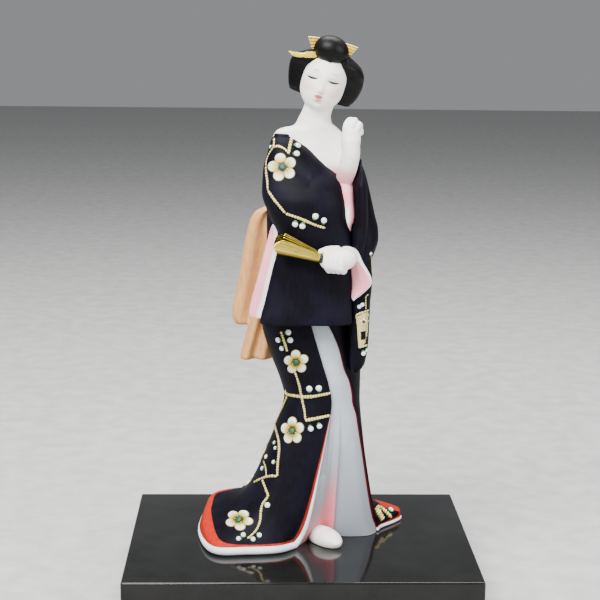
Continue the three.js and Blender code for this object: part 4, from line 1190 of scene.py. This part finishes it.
leafPaint = paint("leafPaint", (0.03, 0.19, 0.035), roughness=(0.4, 0.55), shade=0.25)
heartPaint = paint("heartPaint", (0.012, 0.095, 0.04), roughness=(0.4, 0.6), relief=0.0004, shade=0.35)
goldPaint = paint("goldPaint", build=goldPaintColour, roughness=(0.38, 0.55), relief=0.0003, grainSize=1.6,
                  sockets={"Metallic": 0.35})
goldLeaf = paint("goldLeaf", build=goldLeafColour, roughness=(0.25, 0.34), relief=0.000012,
                 sockets={"Metallic": 1.0})
goldCloth = paint("goldCloth", build=goldClothColour, roughness=(0.35, 0.5), relief=0.0002, grainSize=0.8,
                  sockets={"Metallic": 0.25})
fanBlack = paint("fanBlack", (0.008, 0.007, 0.006), roughness=(0.2, 0.35), shade=0.3)
lacquer = paint("lacquer", build=lacquerColour, roughness=(0.07, 0.13), relief=0.00001,
                sockets={"Coat Weight": 0.15, "Coat Roughness": 0.04, "Specular IOR Level": 0.18})
floorPaint = paint("floorPaint", (0.43, 0.43, 0.419), roughness=(0.7, 0.85), relief=0.0001)

clay = ("painted_clay", ("figure",))
kimonoCloth = [
    addPiece("kimonoSkirt", kimonoSkirt(), skirtPaint, *clay),
    addPiece("bodice", bodice(), kimonoPaint, *clay),
    addPiece("rightSleeve", rightSleeve(), kimonoPaint, *clay),
    addPiece("sleeveMouth", [plain(stack(mouthOuter, 222, 303))], kimonoPaint, *clay),
    addPiece("leftSleeve", leftSleeve(), kimonoPaint, *clay)]
print("kimono made")
addPiece("underRobe", underRobe(), robePaint, *clay)
addPiece("hemRoll", [plain(hemRoll())], hemPaint, *clay)
addPiece("mouthLining", mouthLining(), liningPaint, *clay)
addPiece("openEdge", openEdge(), liningPaint, *clay)
addPiece("leftCuff", leftCuff(), liningPaint, *clay)
print("linings made")
addPiece("obi", obi(), obiPaint, *clay)
addPiece("skin", skin(), skinPaint, *clay)
addPiece("hair", hair(), hairPaint, *clay)
addPiece("raisedHand", raisedHand(), skinPaint, *clay)
addPiece("fanHand", fanHand(), skinPaint, *clay)
addPiece("foot", foot(), sockPaint, *clay)
print("obi, head, hands and foot made")
addPiece("plinthBlock", plinth(), lacquer, "lacquer", ("plinth",))
print("plinth made")


# fan, ribbon and pin
fanSizes = {
    "hand": (10.5, -51.5, 234.3), "slope": 15.4,       # place in the hand, and degrees down to the free end
    "length": 35.5, "bow": 5.5, "handHalf": 3.4, "openHalf": 5.8, "ridge": 2.6, "pleat": 0.22,
    "layers": [(0.0, 0.0, 2.4), (2.4, 3.4, 0.7), (3.8, 6.2, 0.6), (5.2, 8.4, 0.6)]}   # depth, turn, thickness
guardSizes = {"place": (12.2, -51, 233.4), "radii": (4.2, 2.6, 3.1),
              "rivetPlace": (-0.6, -2.4, 0.3), "rivetRadii": (0.9, 0.7, 0.9)}


def fanLeaves():
    # closed leaves, long trapezes with a bowed end: a thick front one with a ridge along it, and thin ones
    # fanned out a little behind; painted shade darkens the thin leaves but for their upper edges, and the
    # thick one along its lower edge
    s = fanSizes
    grids = []
    for depth, opened, thickness in s["layers"]:
        def surface(u, v, side):
            # length against a half width that grows outwards, with a ridge and sine pleats on one face
            across = 2 * v - 1
            along = -u * (s["length"] - s["bow"] * np.abs(across + 0.05) ** 1.7)
            half = lerp(s["handHalf"], s["openHalf"], u)
            ridge = s["ridge"] * np.clip(1 - np.abs(across + 0.25) / lerp(1.25, 0.75, across < -0.25), 0, 1)
            pleat = s["pleat"] * np.abs(np.sin(5.5 * math.pi * v))
            y = -side * (thickness / 2 + (thickness > 1) * ridge * (side > 0)) - pleat * (side > 0)
            return joined(along, y, half * across)

        def shade(u, v):
            # painted shade: thin leaves dark but for their upper edge, thick ones dark only along the lower
            # one
            return ease(0.955 - v, 0, 0.03) if thickness < 1 else 0.9 * ease(0.28 - v, 0, 0.2)
        place = at(*s["hand"]) @ at(0, depth, 0) @ turned(s["slope"] + opened, "Y")
        for points, around, marks in shell(surface, crowd(60), crowd(90), rim=(0.012, 0.03), dark=shade):
            grids.append(plain(moved((points, around), place), **marks))
    return grids


def fanEnd():
    # dark guard and rivet between the leaves and the hand: two stretched balls
    s = guardSizes
    place = at(*s["place"]) @ turned(fanSizes["slope"], "Y")
    return [plain(moved(ball(s["radii"]), place)),
            plain(moved(ball(s["rivetRadii"], None, 16, 24), place @ at(*s["rivetPlace"])))]


ribbonSizes = {"thickness": 0.9, "pleats": 4, "pleatDepth": 0.8, "bow": 1.2}
ribbonFlares = {                                       # the knot's lower and upper end, then the tip's
    "left": ((15, -3, 386), (17, -3, 392.2), (4.6, -6.5, 385.2), (1.6, -7.5, 394.4)),
    "right": ((20, -3, 384), (21, -3, 391.6), (33.4, -6.5, 379.8), (39.2, -8, 386.6))}


def ribbonWings():
    # each flare is a straight mix of its four corners, from the knot behind the puff outwards, with pleats,
    # a sine, that deepen on the way
    s = ribbonSizes
    grids = []
    for corners in ribbonFlares.values():
        low, high, lowTip, highTip = (np.array(p, float) for p in corners)

        def surface(u, v, side):
            # a field between four corners with sine pleats that deepen outwards, bowed by a sine
            u3, v3 = u[..., None], v[..., None]
            spot = lerp(lerp(low, high, v3), lerp(lowTip, highTip, v3), u3)
            y = s["pleatDepth"] * np.sin(s["pleats"] * 2 * math.pi * v) * u - side * s["thickness"] / 2
            y = y - s["bow"] * np.sin(math.pi * u)
            rise = 0.5 * np.sin(math.pi * u) * (2 * v - 1)
            return spot + joined(0.0, y, rise)

        def white(u, v):
            # 1 along the upper edge and the outer end, 0 elsewhere
            return np.maximum(1 - ease(1 - v, 0.03, 0.1), 1 - ease(1 - u, 0.02, 0.06))
        grids += shell(surface, crowd(50), crowd(70), rim=(0.02, 0.03), white=white)
    return grids


pinShape = {
    "root": 8.4, "tip": -12.9, "thickness": (0.35, 0.75),      # half of it at the edges, then the swell
    "up": profile([0, 381.2], [0.35, 381.1], [0.6, 380.9], [0.85, 381.6], [1, 383.2]),
    "half": profile([0, 1.7], [0.12, 2.2], [0.4, 2.2], [0.5, 1.6], [0.7, 1.75], [0.9, 1.2], [1, 0.5]),
    "depth": profile([0, -17], [0.5, -18.6], [1, -14])}


def hairPin():
    # flat gilt pin under the puff, a strip about a bowed line: broad at the hair, notched on top and pointed
    # at its free end, with rounded faces and no pale border
    s = pinShape
    edge, swell = s["thickness"]

    def surface(u, v, side):
        # a field between root and tip whose faces swell by a half circle across it
        x = lerp(s["root"], s["tip"], u)
        y = s["depth"](u) - side * (edge + swell * np.sqrt(np.clip(1 - (2 * v - 1) ** 2, 0, 1)))
        return joined(x, y, s["up"](u) + s["half"](u) * (2 * v - 1))
    return shell(surface, crowd(80), crowd(40), rim=(0.02, 0.04), white=lambda u, v: 0.0)


addPiece("fanLeaves", fanLeaves(), goldLeaf, "gold", ("folding_fan",))
addPiece("fanEnd", fanEnd(), fanBlack, "gold", ("folding_fan",))
addPiece("hairRibbon", ribbonWings(), goldCloth, "gold", ("hair_ribbon",))
addPiece("hairPin", hairPin(), goldCloth, "gold", ("hair_pin",))
print("fan, ribbon and pin made")


# plum branches in relief: places are named in the upright plane through the doll's middle, as (x, z)
# millimetres, and carried along the lines of sight onto the kimono
branches = {                                           # width in millimetres, then the stroke's points
    "shoulderRail": (2.0, (-22.9, 317.8), (-23.1, 312.4), (-23.7, 310.8), (-20.1, 311.5), (-16.1, 310.1),
                     (-13.2, 307.7), (-11.4, 305.5)),
    "shoulderPost": (2.7, (-9.8, 318.0), (-10.6, 314.2), (-11.4, 310.1), (-11.7, 306.0)),
    "sleeveTop": (1.6, (-23.7, 310.4), (-26.4, 306.1), (-28.4, 301.2), (-29.0, 296.5)),
    "sleeveSide": (2.2, (-29.0, 296.5), (-28.6, 290.6), (-27.8, 284.8), (-27.4, 277.8)),
    "sleeveSlant": (2.3, (-27.4, 277.8), (-25.8, 275.4), (-22.2, 270.2), (-18.1, 265.4), (-13.9, 260.2)),
    "sleeveEnd": (2.4, (-13.9, 260.2), (-7.9, 258.1), (-2.1, 256.1), (3.9, 253.5), (9.8, 251.1),
                  (16.9, 249.0)),
    "thighTwig": (2.3, (-16.6, 167.6), (-14.9, 162.3), (-12.9, 156.3), (-11.3, 151.0)),
    "thighStem": (2.3, (-5.2, 134.6), (-3.5, 129.6), (-1.4, 122.8), (-0.1, 116.1), (1.3, 109.3), (2.7, 102.5),
                  (3.4, 95.7)),
    "kneeBand": (2.9, (-12.5, 120.0), (-11.2, 116.7), (-5.3, 115.3), (1.3, 114.4), (9.1, 114.7),
                 (16.2, 116.1), (23.4, 117.6)),
    "lowerBand": (2.9, (3.0, 94.9), (9.3, 96.1), (17.2, 97.9), (24.2, 99.7)),
    "sideUpper": (2.3, (-10.9, 115.0), (-13.2, 109.2), (-15.4, 103.8), (-18.3, 97.0), (-20.5, 91.2)),
    "sideLower": (2.6, (-20.5, 91.2), (-19.1, 85.3), (-17.5, 78.7), (-17.0, 70.1), (-18.0, 59.4),
                  (-18.5, 48.6)),
    "sideFoot": (2.3, (-18.5, 48.6), (-23.7, 48.8), (-30.6, 46.8), (-37.4, 43.2)),
    "sideTwig": (1.6, (-27.1, 48.0), (-27.2, 50.4), (-27.7, 55.8), (-29.5, 61.7)),
    "hemBranch": (2.2, (-30.3, 46.0), (-27.1, 36.6), (-25.9, 31.8), (-29.9, 25.7), (-31.5, 18.5),
                  (-32.1, 11.2), (-34.9, 3.9), (-39.5, -1.5), (-42.4, -3.9)),
    "cuffLine": (1.0, (51.6, 197.2), (49.3, 195.4), (49.2, 190.9), (49.3, 184.7)),
    "elbowLine": (1.0, (52.4, 228.0), (52.8, 222.7), (53.3, 215.4)),
    "latticeTop": (1.9, (41.4, 180.3), (46.5, 182.5), (51.6, 184.6)),
    "latticeTuftA": (1.4, (49.5, 180.2), (52.0, 180.9)),
    "latticeTuftB": (1.4, (49.7, 175.8), (52.1, 176.1)),
    "latticeFoot": (1.9, (44.2, 154.4), (48.0, 155.6), (51.4, 156.8)),
    "tailStrokeA": (6.5, (59.9, 21.5), (63.0, 17.0), (66.2, 11.8)),
    "tailStrokeB": (4.2, (65.6, 21.3), (69.7, 17.6), (73.0, 14.2)),
    "tailTop": (3.2, (60.9, 22.9), (64.0, 22.7), (67.0, 21.2))}
flowers = {                                            # centre, half width and height, first petal's bearing
    "shoulder": ((-16.6, 295.5), 11.3, 11.1, 103),
    "thigh": ((-4.3, 142.6), 9.9, 9.9, 95),
    "knee": ((-6.7, 86.4), 9.4, 11.6, 92),
    "hem": ((-48.8, 11.9), 11.4, 9.0, 60)}
buds = [                                               # place and radius
    (-5.1, 312.2, 2.3), (-5.8, 306.0, 2.3), (-25.6, 311.1, 1.3), (9.1, 258.2, 2.3), (15.7, 255.0, 2.2),
    (-6.4, 251.9, 2.2), (-0.8, 250.4, 2.2), (-10.7, 166.6, 2.3), (-18.6, 160.3, 2.2), (-9.1, 160.3, 2.3),
    (-15.8, 153.6, 2.0), (6.2, 121.1, 2.4), (13.6, 121.5, 2.4), (7.7, 88.2, 2.2), (14.5, 90.3, 2.1),
    (-27.4, 64.9, 1.8), (-30.4, 55.2, 1.8), (-34.0, 57.6, 1.2), (-21.0, 76.6, 1.5), (-20.2, 72.2, 1.5),
    (-21.5, 60.5, 1.7), (-26.2, 24.5, 2.2), (-49.3, -3.9, 1.9), (-45.5, -0.6, 1.9), (-37.7, -4.3, 1.9),
    (-32.6, -0.9, 1.9), (44.3, 187.2, 1.6), (46.6, 188.8, 1.6), (48.2, 149.8, 1.9), (50.3, 152.4, 1.5),
    (52.3, 229.2, 1.3), (72.8, 20.6, 2.2)]
lattice = {                                            # corners, then the box whose rays place them
    "block": [(41.6, 179.9), (51.5, 183.6), (51.6, 156.6), (44.3, 154.6)],
    "window": [(45.7, 167.4), (49.9, 168.2), (50.0, 160.8), (46.1, 160.2)],
    "box": ((41.6, 154.6), (51.6, 183.6)), "flower": ((47.7, 175.2), 2.9, 3.1, 90)}
strokeSizes = {
    "lift": 0.12, "step": 0.28, "height": 0.42,        # over the cloth, along the path, share of the width
    "taper": 0.75, "twist": 2.1, "rope": 0.12, "lumps": 0.10}
petalSizes = {
    "off": 0.62, "radius": 0.40, "notch": 0.60,        # shares of the flower's half width
    "low": 0.35, "dome": 0.75, "sides": 120, "rings": 17}
heartSizes = {"radius": 0.24, "beads": 11, "bead": 0.038, "near": 0.36, "far": 0.43}
cameraPlace = np.array([-36.1, -1090.2, 410.4])
frontSight = (cameraPlace, 1, 0.0)                     # eye, axis the upright plane faces, its place there


def clothTree():
    # one search tree over the dark kimono's pieces, in carving millimetres
    points, faces, start = [], [], 0
    for piece in kimonoCloth:
        mesh = piece.data
        here = np.empty(len(mesh.vertices) * 3)
        mesh.vertices.foreach_get("co", here)
        points.append((here.reshape(-1, 3) - np.array([0, 0, ground])) * 1000 / share)
        mesh.calc_loop_triangles()
        corners = np.empty(len(mesh.loop_triangles) * 3, np.int32)
        mesh.loop_triangles.foreach_get("vertices", corners)
        faces.append(corners.reshape(-1, 3) + start)
        start += len(mesh.vertices)
    return BVHTree.FromPolygons(np.concatenate(points).tolist(), np.concatenate(faces).tolist())


cloth = clothTree()


def ontoCloth(flat, sight):
    # places (n, 2) in an upright plane, carried along the lines of sight from the eye to the cloth
    eye, axis, level = sight
    hits = []
    for target in np.insert(np.asarray(flat, float), axis, level, axis=1):     # a path's own points
        where = cloth.ray_cast(Vector(eye), Vector(target - eye).normalized(), 3000)[0]
        hits.append(where[:] if where is not None else (np.nan,) * 3)
    return np.array(hits)


def overCloth(flat, sight, box=None, samples=8):
    # a whole grid of places on the cloth: a cubic surface in the plane's two coordinates, fitted to a
    # small sample of rays spread over the grid, or over a given box
    low, high = (flat.min((0, 1)), flat.max((0, 1))) if box is None else np.array(box, float)
    middle, half = (low + high) / 2, (high - low) / 2
    line = np.linspace(-1, 1, samples)
    sample = np.stack(np.meshgrid(line, line), -1).reshape(-1, 2)
    hits = ontoCloth(middle + sample * (high - low) / 2, sight)
    good = ~np.isnan(hits).any(1)
    near = 1.2 * np.linalg.norm(high - low)
    good[good] = np.linalg.norm(hits[good] - np.median(hits[good], axis=0), axis=1) < near

    def powers(p):
        # all products of powers of x and y up to the third degree
        return np.stack([p[..., 0] ** i * p[..., 1] ** j for i in range(4) for j in range(4 - i)], -1)
    terms = np.linalg.lstsq(powers(sample[good]), hits[good], rcond=None)[0]
    return powers((flat - middle) / half) @ terms


def clothNormals(points, eye):
    # outward normals of the nearest cloth, smoothed along the path
    found = np.array([cloth.find_nearest(Vector(p))[1][:] for p in points])
    facing = np.sign((found * (eye - points)).sum(-1, keepdims=True))
    found = found * np.where(facing == 0, 1, facing)
    for _ in range(3):
        found[1:-1] = unit(found[:-2] + 2 * found[1:-1] + found[2:])
    return found


def spread(points, gap):
    # evenly spaced points along a smooth curve through the given ones
    points = np.asarray(points, float)
    fine = through(points, np.linspace(0, 1, 24 * len(points)))
    length = np.concatenate([[0], np.cumsum(np.linalg.norm(np.diff(fine, axis=0), axis=1))])
    t = np.linspace(0, length[-1], max(4, int(length[-1] / gap)))
    return np.column_stack([np.interp(t, length, fine[:, k]) for k in range(points.shape[1])])


def strokeOnCloth(flat, width, seed, sight):
    # a raised stroke: a half-round section carried along the cloth, twisted like a rope by a sine, with
    # the small lumps of piped paste
    s = strokeSizes
    places = ontoCloth(spread(flat, s["step"]), sight)
    places = places[~np.isnan(places).any(1)]
    if len(places) < 5:
        return []
    for _ in range(2):
        places[1:-1] = (places[:-2] + 2 * places[1:-1] + places[2:]) / 4
    normal = clothNormals(places, sight[0])
    side = unit(np.cross(unit(np.gradient(places, axis=0)), normal))
    t = np.linspace(0, 1, len(places))
    along = t * len(places) * s["step"]
    lumps = np.random.default_rng(seed).normal(0, 1, len(places) + 4)
    lumps = lumps[:-4] + 2 * lumps[1:-3] + 3 * lumps[2:-2] + 2 * lumps[3:-1] + lumps[4:]
    lumps = 1 + s["lumps"] * lumps / 5
    ends = np.sqrt(1 - (1 - np.clip(np.minimum(t, 1 - t) * len(t) / 4, 0, 1)) ** 2)
    half = width / 2 * lumps * lerp(s["taper"], 1, bump(t, 0.4, 0.5)) * np.maximum(ends, 0.02)
    turn = 2 * math.pi * np.arange(14)[None] / 14
    twist = np.sin(2 * math.pi * along[:, None] / s["twist"] + 1.6 * np.sin(turn) + 2 * lumps[:, None])
    rope = 1 + s["rope"] * twist
    height = width * s["height"]
    wide = np.cos(turn) * half[:, None] * rope
    tall = np.sin(turn) * height * rope * np.maximum(ends, 0.05)[:, None] * lumps[:, None]
    rings = (places[:, None] + normal[:, None] * s["lift"] + side[:, None] * wide[..., None]
             + normal[:, None] * tall[..., None])
    # ridge: 1 on the rope's outward top, 0 at its sides; it paints highlight on top and shade along the sides
    ridge = np.clip(np.sin(turn), 0, 1) ** 1.4 * (0.66 + 0.34 * twist)
    return [plain((closeEnds(rings), True), ridge=closeMarks(ridge))]


def patchOnCloth(corners, height, box, cells=40):
    # a raised flat field, a straight mix of four corners, its face and underside one closed wall
    a, b, c, d = (np.array(corner, float) for corner in corners)
    s = np.concatenate([np.linspace(0, 1, cells), np.linspace(1, 0, cells)])[None, :, None]
    t = np.linspace(0, 1, cells)[:, None, None]
    hits = overCloth(lerp(lerp(a, b, s), lerp(d, c, s), t), frontSight, box)
    way = unit(cameraPlace - hits.mean((0, 1)))
    inset = np.minimum(np.minimum(s, 1 - s), np.minimum(t, 1 - t))[..., 0]
    top = np.arange(2 * cells)[None] < cells
    weave = 0.5 + 0.5 * np.sin(cells * 0.9 * s[..., 0]) * np.sin(cells * 0.9 * t[..., 0])
    lift = np.where(top, height * np.sqrt(np.clip(inset / 0.08, 0, 1)) * (0.85 + 0.25 * weave), -0.4)
    # the weave's raised knots get a higher ridge mark, painted highlight, and the underside none
    ridge = np.where(top, 0.25 + 0.6 * weave, 0)
    return plain((closeEnds(hits + way * lift[..., None]), True), ridge=closeMarks(ridge))


def flowerOnCloth(centre, halfWidth, halfHeight, first, sight, box=None):
    # five round petals about a heart: the outline is the far side of a circle set off from the middle,
    # and each petal swells to a low dome
    s = petalSizes
    angles = 2 * math.pi * np.arange(s["sides"])[None] / s["sides"]
    radii = np.concatenate([np.linspace(0.02, 1, s["rings"]), [1.0]])[:, None]
    offset = np.mod(angles - math.radians(first) + math.pi / 5, 2 * math.pi / 5) - math.pi / 5
    beside = s["off"] * np.sin(offset)
    reach = s["off"] * np.cos(offset) + np.sqrt(np.maximum(s["radius"] ** 2 - beside ** 2, 0))
    reach = np.maximum(reach, s["notch"])
    x = radii * reach * np.cos(angles) * halfWidth
    z = radii * reach * np.sin(angles) * halfHeight
    hits = overCloth(np.stack([x + centre[0], z + centre[1]], -1), sight, box)
    normal = gridNormals(hits[:-1], True)
    normal = unit(normal.mean((0, 1)) * 0.6 + normal * 0.4)
    normal = np.concatenate([normal, normal[-1:]])
    out = normal * np.sign((normal * (sight[0] - hits)).sum(-1).mean())
    along = radii * reach
    fromPetal = np.hypot(along * np.cos(offset) - s["off"], along * np.sin(offset)) / s["radius"]
    dome = np.sqrt(np.clip(1 - np.minimum(fromPetal, 1) ** 2, 0, 1))
    height = (s["low"] + s["dome"] * dome) * np.sqrt(np.clip(1 - np.clip(radii, 0, 1) ** 6, 0, 1))
    height = height + 0.3 * bump(along, 0, 0.3)
    height = np.concatenate([height[:-1], np.full((1, s["sides"]), -0.5)])
    lifted = hits + out * (height + strokeSizes["lift"])[..., None]
    under = hits + out * -0.5
    middle = lifted[:1].mean(1, keepdims=True) + 0 * lifted[:1]
    grid = np.concatenate([middle, lifted, lerp(under[-1:], under[:1].mean(1, keepdims=True), 0.999)])
    marks = {
        "fromHeart": np.concatenate([along[:1], along, along[-1:]]),
        "fromRim": np.concatenate([1 - fromPetal[:1], 1 - fromPetal, 1 - fromPetal[-1:]]),
        "turn": angles - math.radians(first)}
    return (grid, True, marks), hits, out


def beadOnCloth(place, normal, radius, squash=0.6, rows=12, columns=18):
    # a small round bead, a ball flattened along the normal and pressed onto the cloth
    side = unit(np.cross(normal, [0.1, 0.2, 1.0]))
    turn = np.column_stack([side, np.cross(normal, side), normal])
    points, around = ball([radius, radius, radius * squash], None, rows, columns)
    return plain((points @ turn.T + place + normal * radius * squash * 0.35, around))


otherSides = {                                         # seen from behind as (x, z), from the sides as (y, z)
    "behind": {
        "sight": ((0, 1100, 250), 1, 20),
        "branches": [
            (2.4, (33, 132), (25, 118), (31, 101), (20, 84), (26, 66), (16, 47), (22, 28)),
            (1.9, (25, 118), (10, 112), (-4, 117)), (2.0, (20, 84), (6, 76), (-8, 82), (-15, 70)),
            (1.7, (16, 47), (2, 38), (-6, 41)),
            (2.1, (-33, 44), (-37, 32), (-47, 22)),
            (1.9, (27, 296), (16, 289), (8, 294), (-3, 285)), (1.7, (8, 294), (4, 303))],
        "flowers": [((5, 97), 9.6, 9.6, 90), ((-14, 58), 9, 9.4, 100),
                    ((0, 20), 10.5, 7.6, 90), ((-12, 293), 9.4, 9.2, 95)],
        "buds": [(38, 138, 2.2), (28, 140, 2), (-9, 121, 2.2), (-7, 112, 2), (15, 131, 2), (-20, 75, 2),
                 (-12, 36, 2), (28, 22, 2.1), (-42, 33, 2.2),
                 (31, 303, 2), (33, 295, 2), (1, 307, 2)]},
    "sleeveSide": {
        "sight": ((1100, -10, 250), 0, 40),
        "branches": [
            (2.0, (12, 298), (17, 287), (13, 275), (18, 262), (16, 250)),
            (2.0, (4, 226), (8, 214), (3, 202), (8, 190), (3, 176), (6, 163), (2, 152))],
        "flowers": [((14, 236), 6.4, 7.2, 110), ((4, 183), 6, 7, 80)],
        "buds": [(15, 303, 1.9), (11, 268, 1.8), (12, 248, 1.8), (8, 206, 1.9), (7, 171, 1.9),
                 (7, 156, 1.8)]},
    "skirtRight": {
        "sight": ((1100, 20, 150), 0, 30),
        "branches": [
            (2.2, (14, 128), (20, 112), (16, 96), (25, 80), (21, 62), (31, 46), (28, 32)),
            (1.7, (25, 80), (34, 75))],
        "flowers": [((20, 100), 7.6, 8.6, 90), ((33, 58), 8.6, 9.2, 100)],
        "buds": [(18, 133, 2), (11, 132, 1.9), (38, 79, 2.1), (37, 71, 1.9), (22, 48, 2), (33, 26, 2)]},
    "skirtLeft": {
        "sight": ((-1100, 40, 150), 0, -20),
        "branches": [(2.2, (24, 128), (19, 112), (27, 97), (21, 80), (29, 62), (24, 46))],
        "flowers": [((15, 66), 9.2, 9.6, 100), ((36, 34), 10, 8.6, 85)],
        "buds": [(27, 134, 2), (20, 133, 2), (18, 100, 2), (30, 84, 1.9), (21, 39, 2)]}}


def plumRelief():
    # the whole pattern, side by side, sorted into pieces by their paint
    sets = {"gold": [], "white": [], "green": [], "petals": [], "hearts": []}

    def paintHeart(middle, up, halfWidth):
        # a green bead in a ring of gold ones, which stand nearer and further in turn
        s = heartSizes
        sets["hearts"].append(beadOnCloth(middle + up * 0.5, up, s["radius"] * halfWidth, 0.45))
        ring = unit(np.cross(up, [0.1, 0.2, 1.0]))
        for k in range(s["beads"]):
            turn = 2 * math.pi * k / s["beads"]
            way = math.cos(turn) * ring + math.sin(turn) * np.cross(up, ring)
            reach = halfWidth * (s["near"] if k % 2 else s["far"])
            bead = beadOnCloth(middle + up * 0.55 + way * reach, up, s["bead"] * halfWidth, 0.7, 8, 10)
            # the gold beads are painted nearly all in the highlight tone
            sets["gold"].append(plain(bead[:2], ridge=0.9))

    def paintSide(lines, blossoms, small, sight, seed):
        # branches, flowers and buds of one side; each bud has its leaf towards the nearest branch
        sight = (np.array(sight[0], float), *sight[1:])
        stems = np.array([p for _, *points in lines for p in spread(points, 2)])
        for k, (width, *points) in enumerate(lines):
            sets["gold"] += strokeOnCloth(points, width, seed + k, sight)
        for x, z, radius in small:
            near = stems[np.argmin(((stems - (x, z)) ** 2).sum(-1))]
            place = ontoCloth([(x, z), lerp(np.array([x, z]), near, 0.3)], sight)
            if np.isnan(place).any():
                continue
            normal = clothNormals(place, sight[0])[0]
            sets["white"].append(beadOnCloth(place[0], normal, radius))
            way = unit(place[1] - place[0])
            sets["green"].append(beadOnCloth(place[0] + way * radius * 0.75, normal, radius * 0.72, 0.55))
        for blossom in blossoms:
            grid, hits, normal = flowerOnCloth(*blossom, sight)
            sets["petals"].append(grid)
            paintHeart(hits[0].mean(0), unit(normal[0].mean(0)), blossom[1])
    paintSide(list(branches.values()), list(flowers.values()), buds, frontSight, 0)
    for k, side in enumerate(otherSides.values()):
        paintSide(side["branches"], side["flowers"], side["buds"], side["sight"], 100 * k + 100)
    sets["gold"].append(patchOnCloth(lattice["block"], 0.55, lattice["box"]))
    points, around, marks = flowerOnCloth(*lattice["flower"], frontSight, lattice["box"])[0]
    sets["petals"].append((points + unit(cameraPlace - points[0, 0]) * 0.5, around, marks))
    addPiece("goldBranches", sets["gold"], goldPaint, "gold", ("figure",))
    addPiece("latticeGap", [patchOnCloth(lattice["window"], 0.95, lattice["box"])], kimonoPaint, *clay)
    addPiece("plumBuds", sets["white"], budPaint, *clay)
    addPiece("budLeaves", sets["green"], leafPaint, *clay)
    addPiece("plumPetals", sets["petals"], petalPaint, *clay)
    addPiece("plumHearts", sets["hearts"], heartPaint, *clay)


plumRelief()
print("plum branches made")


# camera, light and floor
cameraSizes = {"yaw": 1.79, "pitch": 11.31, "roll": 0.64, "focal": 1428.3, "frame": 600}    # degrees, pixels
lights = {                                             # place, target, two sizes, power
    "keyLight": ((-0.7, -1.2, 1.7), (0, 0, 0.25), (1.1, 1.1), 128),
    "fillLight": ((1.4, -1.1, 0.9), (0, 0, 0.22), (1.2, 1.2), 36),
    "topLight": ((0.1, 0.5, 1.7), (0, 0, 0.2), (1.2, 0.8), 48)}
room = {"floor": 6, "air": (0.75, 0.77, 0.8, 1), "strength": 0.36}      # half the floor's width in metres


def addCamera():
    # looks along yaw and pitch and is rolled about that line; the lens is the focal length in pixels
    c = cameraSizes
    yaw, pitch, roll = (math.radians(c[k]) for k in ("yaw", "pitch", "roll"))
    ahead = Vector((math.sin(yaw) * math.cos(pitch), math.cos(yaw) * math.cos(pitch), -math.sin(pitch)))
    level = Vector((math.cos(yaw), -math.sin(yaw), 0))
    right = math.cos(roll) * level + math.sin(roll) * level.cross(ahead)
    turn = Matrix((right, right.cross(ahead), -ahead)).transposed().to_4x4()
    data = bpy.data.cameras.new("camera")
    data.sensor_fit, data.sensor_width = "HORIZONTAL", 36
    data.lens = c["focal"] / c["frame"] * data.sensor_width
    data.clip_start, data.clip_end = 0.05, 30
    camera = bpy.data.objects.new("camera", data)
    camera.matrix_world = Matrix.Translation(Vector(toFrame(cameraPlace))) @ turn
    bpy.context.scene.collection.objects.link(camera)
    bpy.context.scene.camera = camera


def addLight(name, place, target, size, power):
    # a soft rectangle that faces its target
    data = bpy.data.lights.new(name, "AREA")
    data.shape, data.size, data.size_y, data.energy = "RECTANGLE", *size, power
    light = bpy.data.objects.new(name, data)
    light.location = place
    light.rotation_euler = (Vector(target) - Vector(place)).to_track_quat("-Z", "Y").to_euler()
    bpy.context.scene.collection.objects.link(light)


def addFloor():
    # one plain square under the plinth
    far = room["floor"]
    mesh = bpy.data.meshes.new("floor")
    mesh.from_pydata([(-far, -far, 0), (far, -far, 0), (far, far, 0), (-far, far, 0)], [], [(0, 1, 2, 3)])
    mesh.materials.append(floorPaint)
    floor = bpy.data.objects.new("floor", mesh)
    bpy.context.scene.collection.objects.link(floor)


def addWorld():
    # an even pale light from all round
    world = bpy.data.worlds.new("studio")
    world.use_nodes = True
    background = world.node_tree.nodes["Background"]
    background.inputs["Color"].default_value = room["air"]
    background.inputs["Strength"].default_value = room["strength"]
    bpy.context.scene.world = world


addCamera()
addFloor()
for lightName, numbers in lights.items():
    addLight(lightName, *numbers)
addWorld()
print("camera, light and floor made")
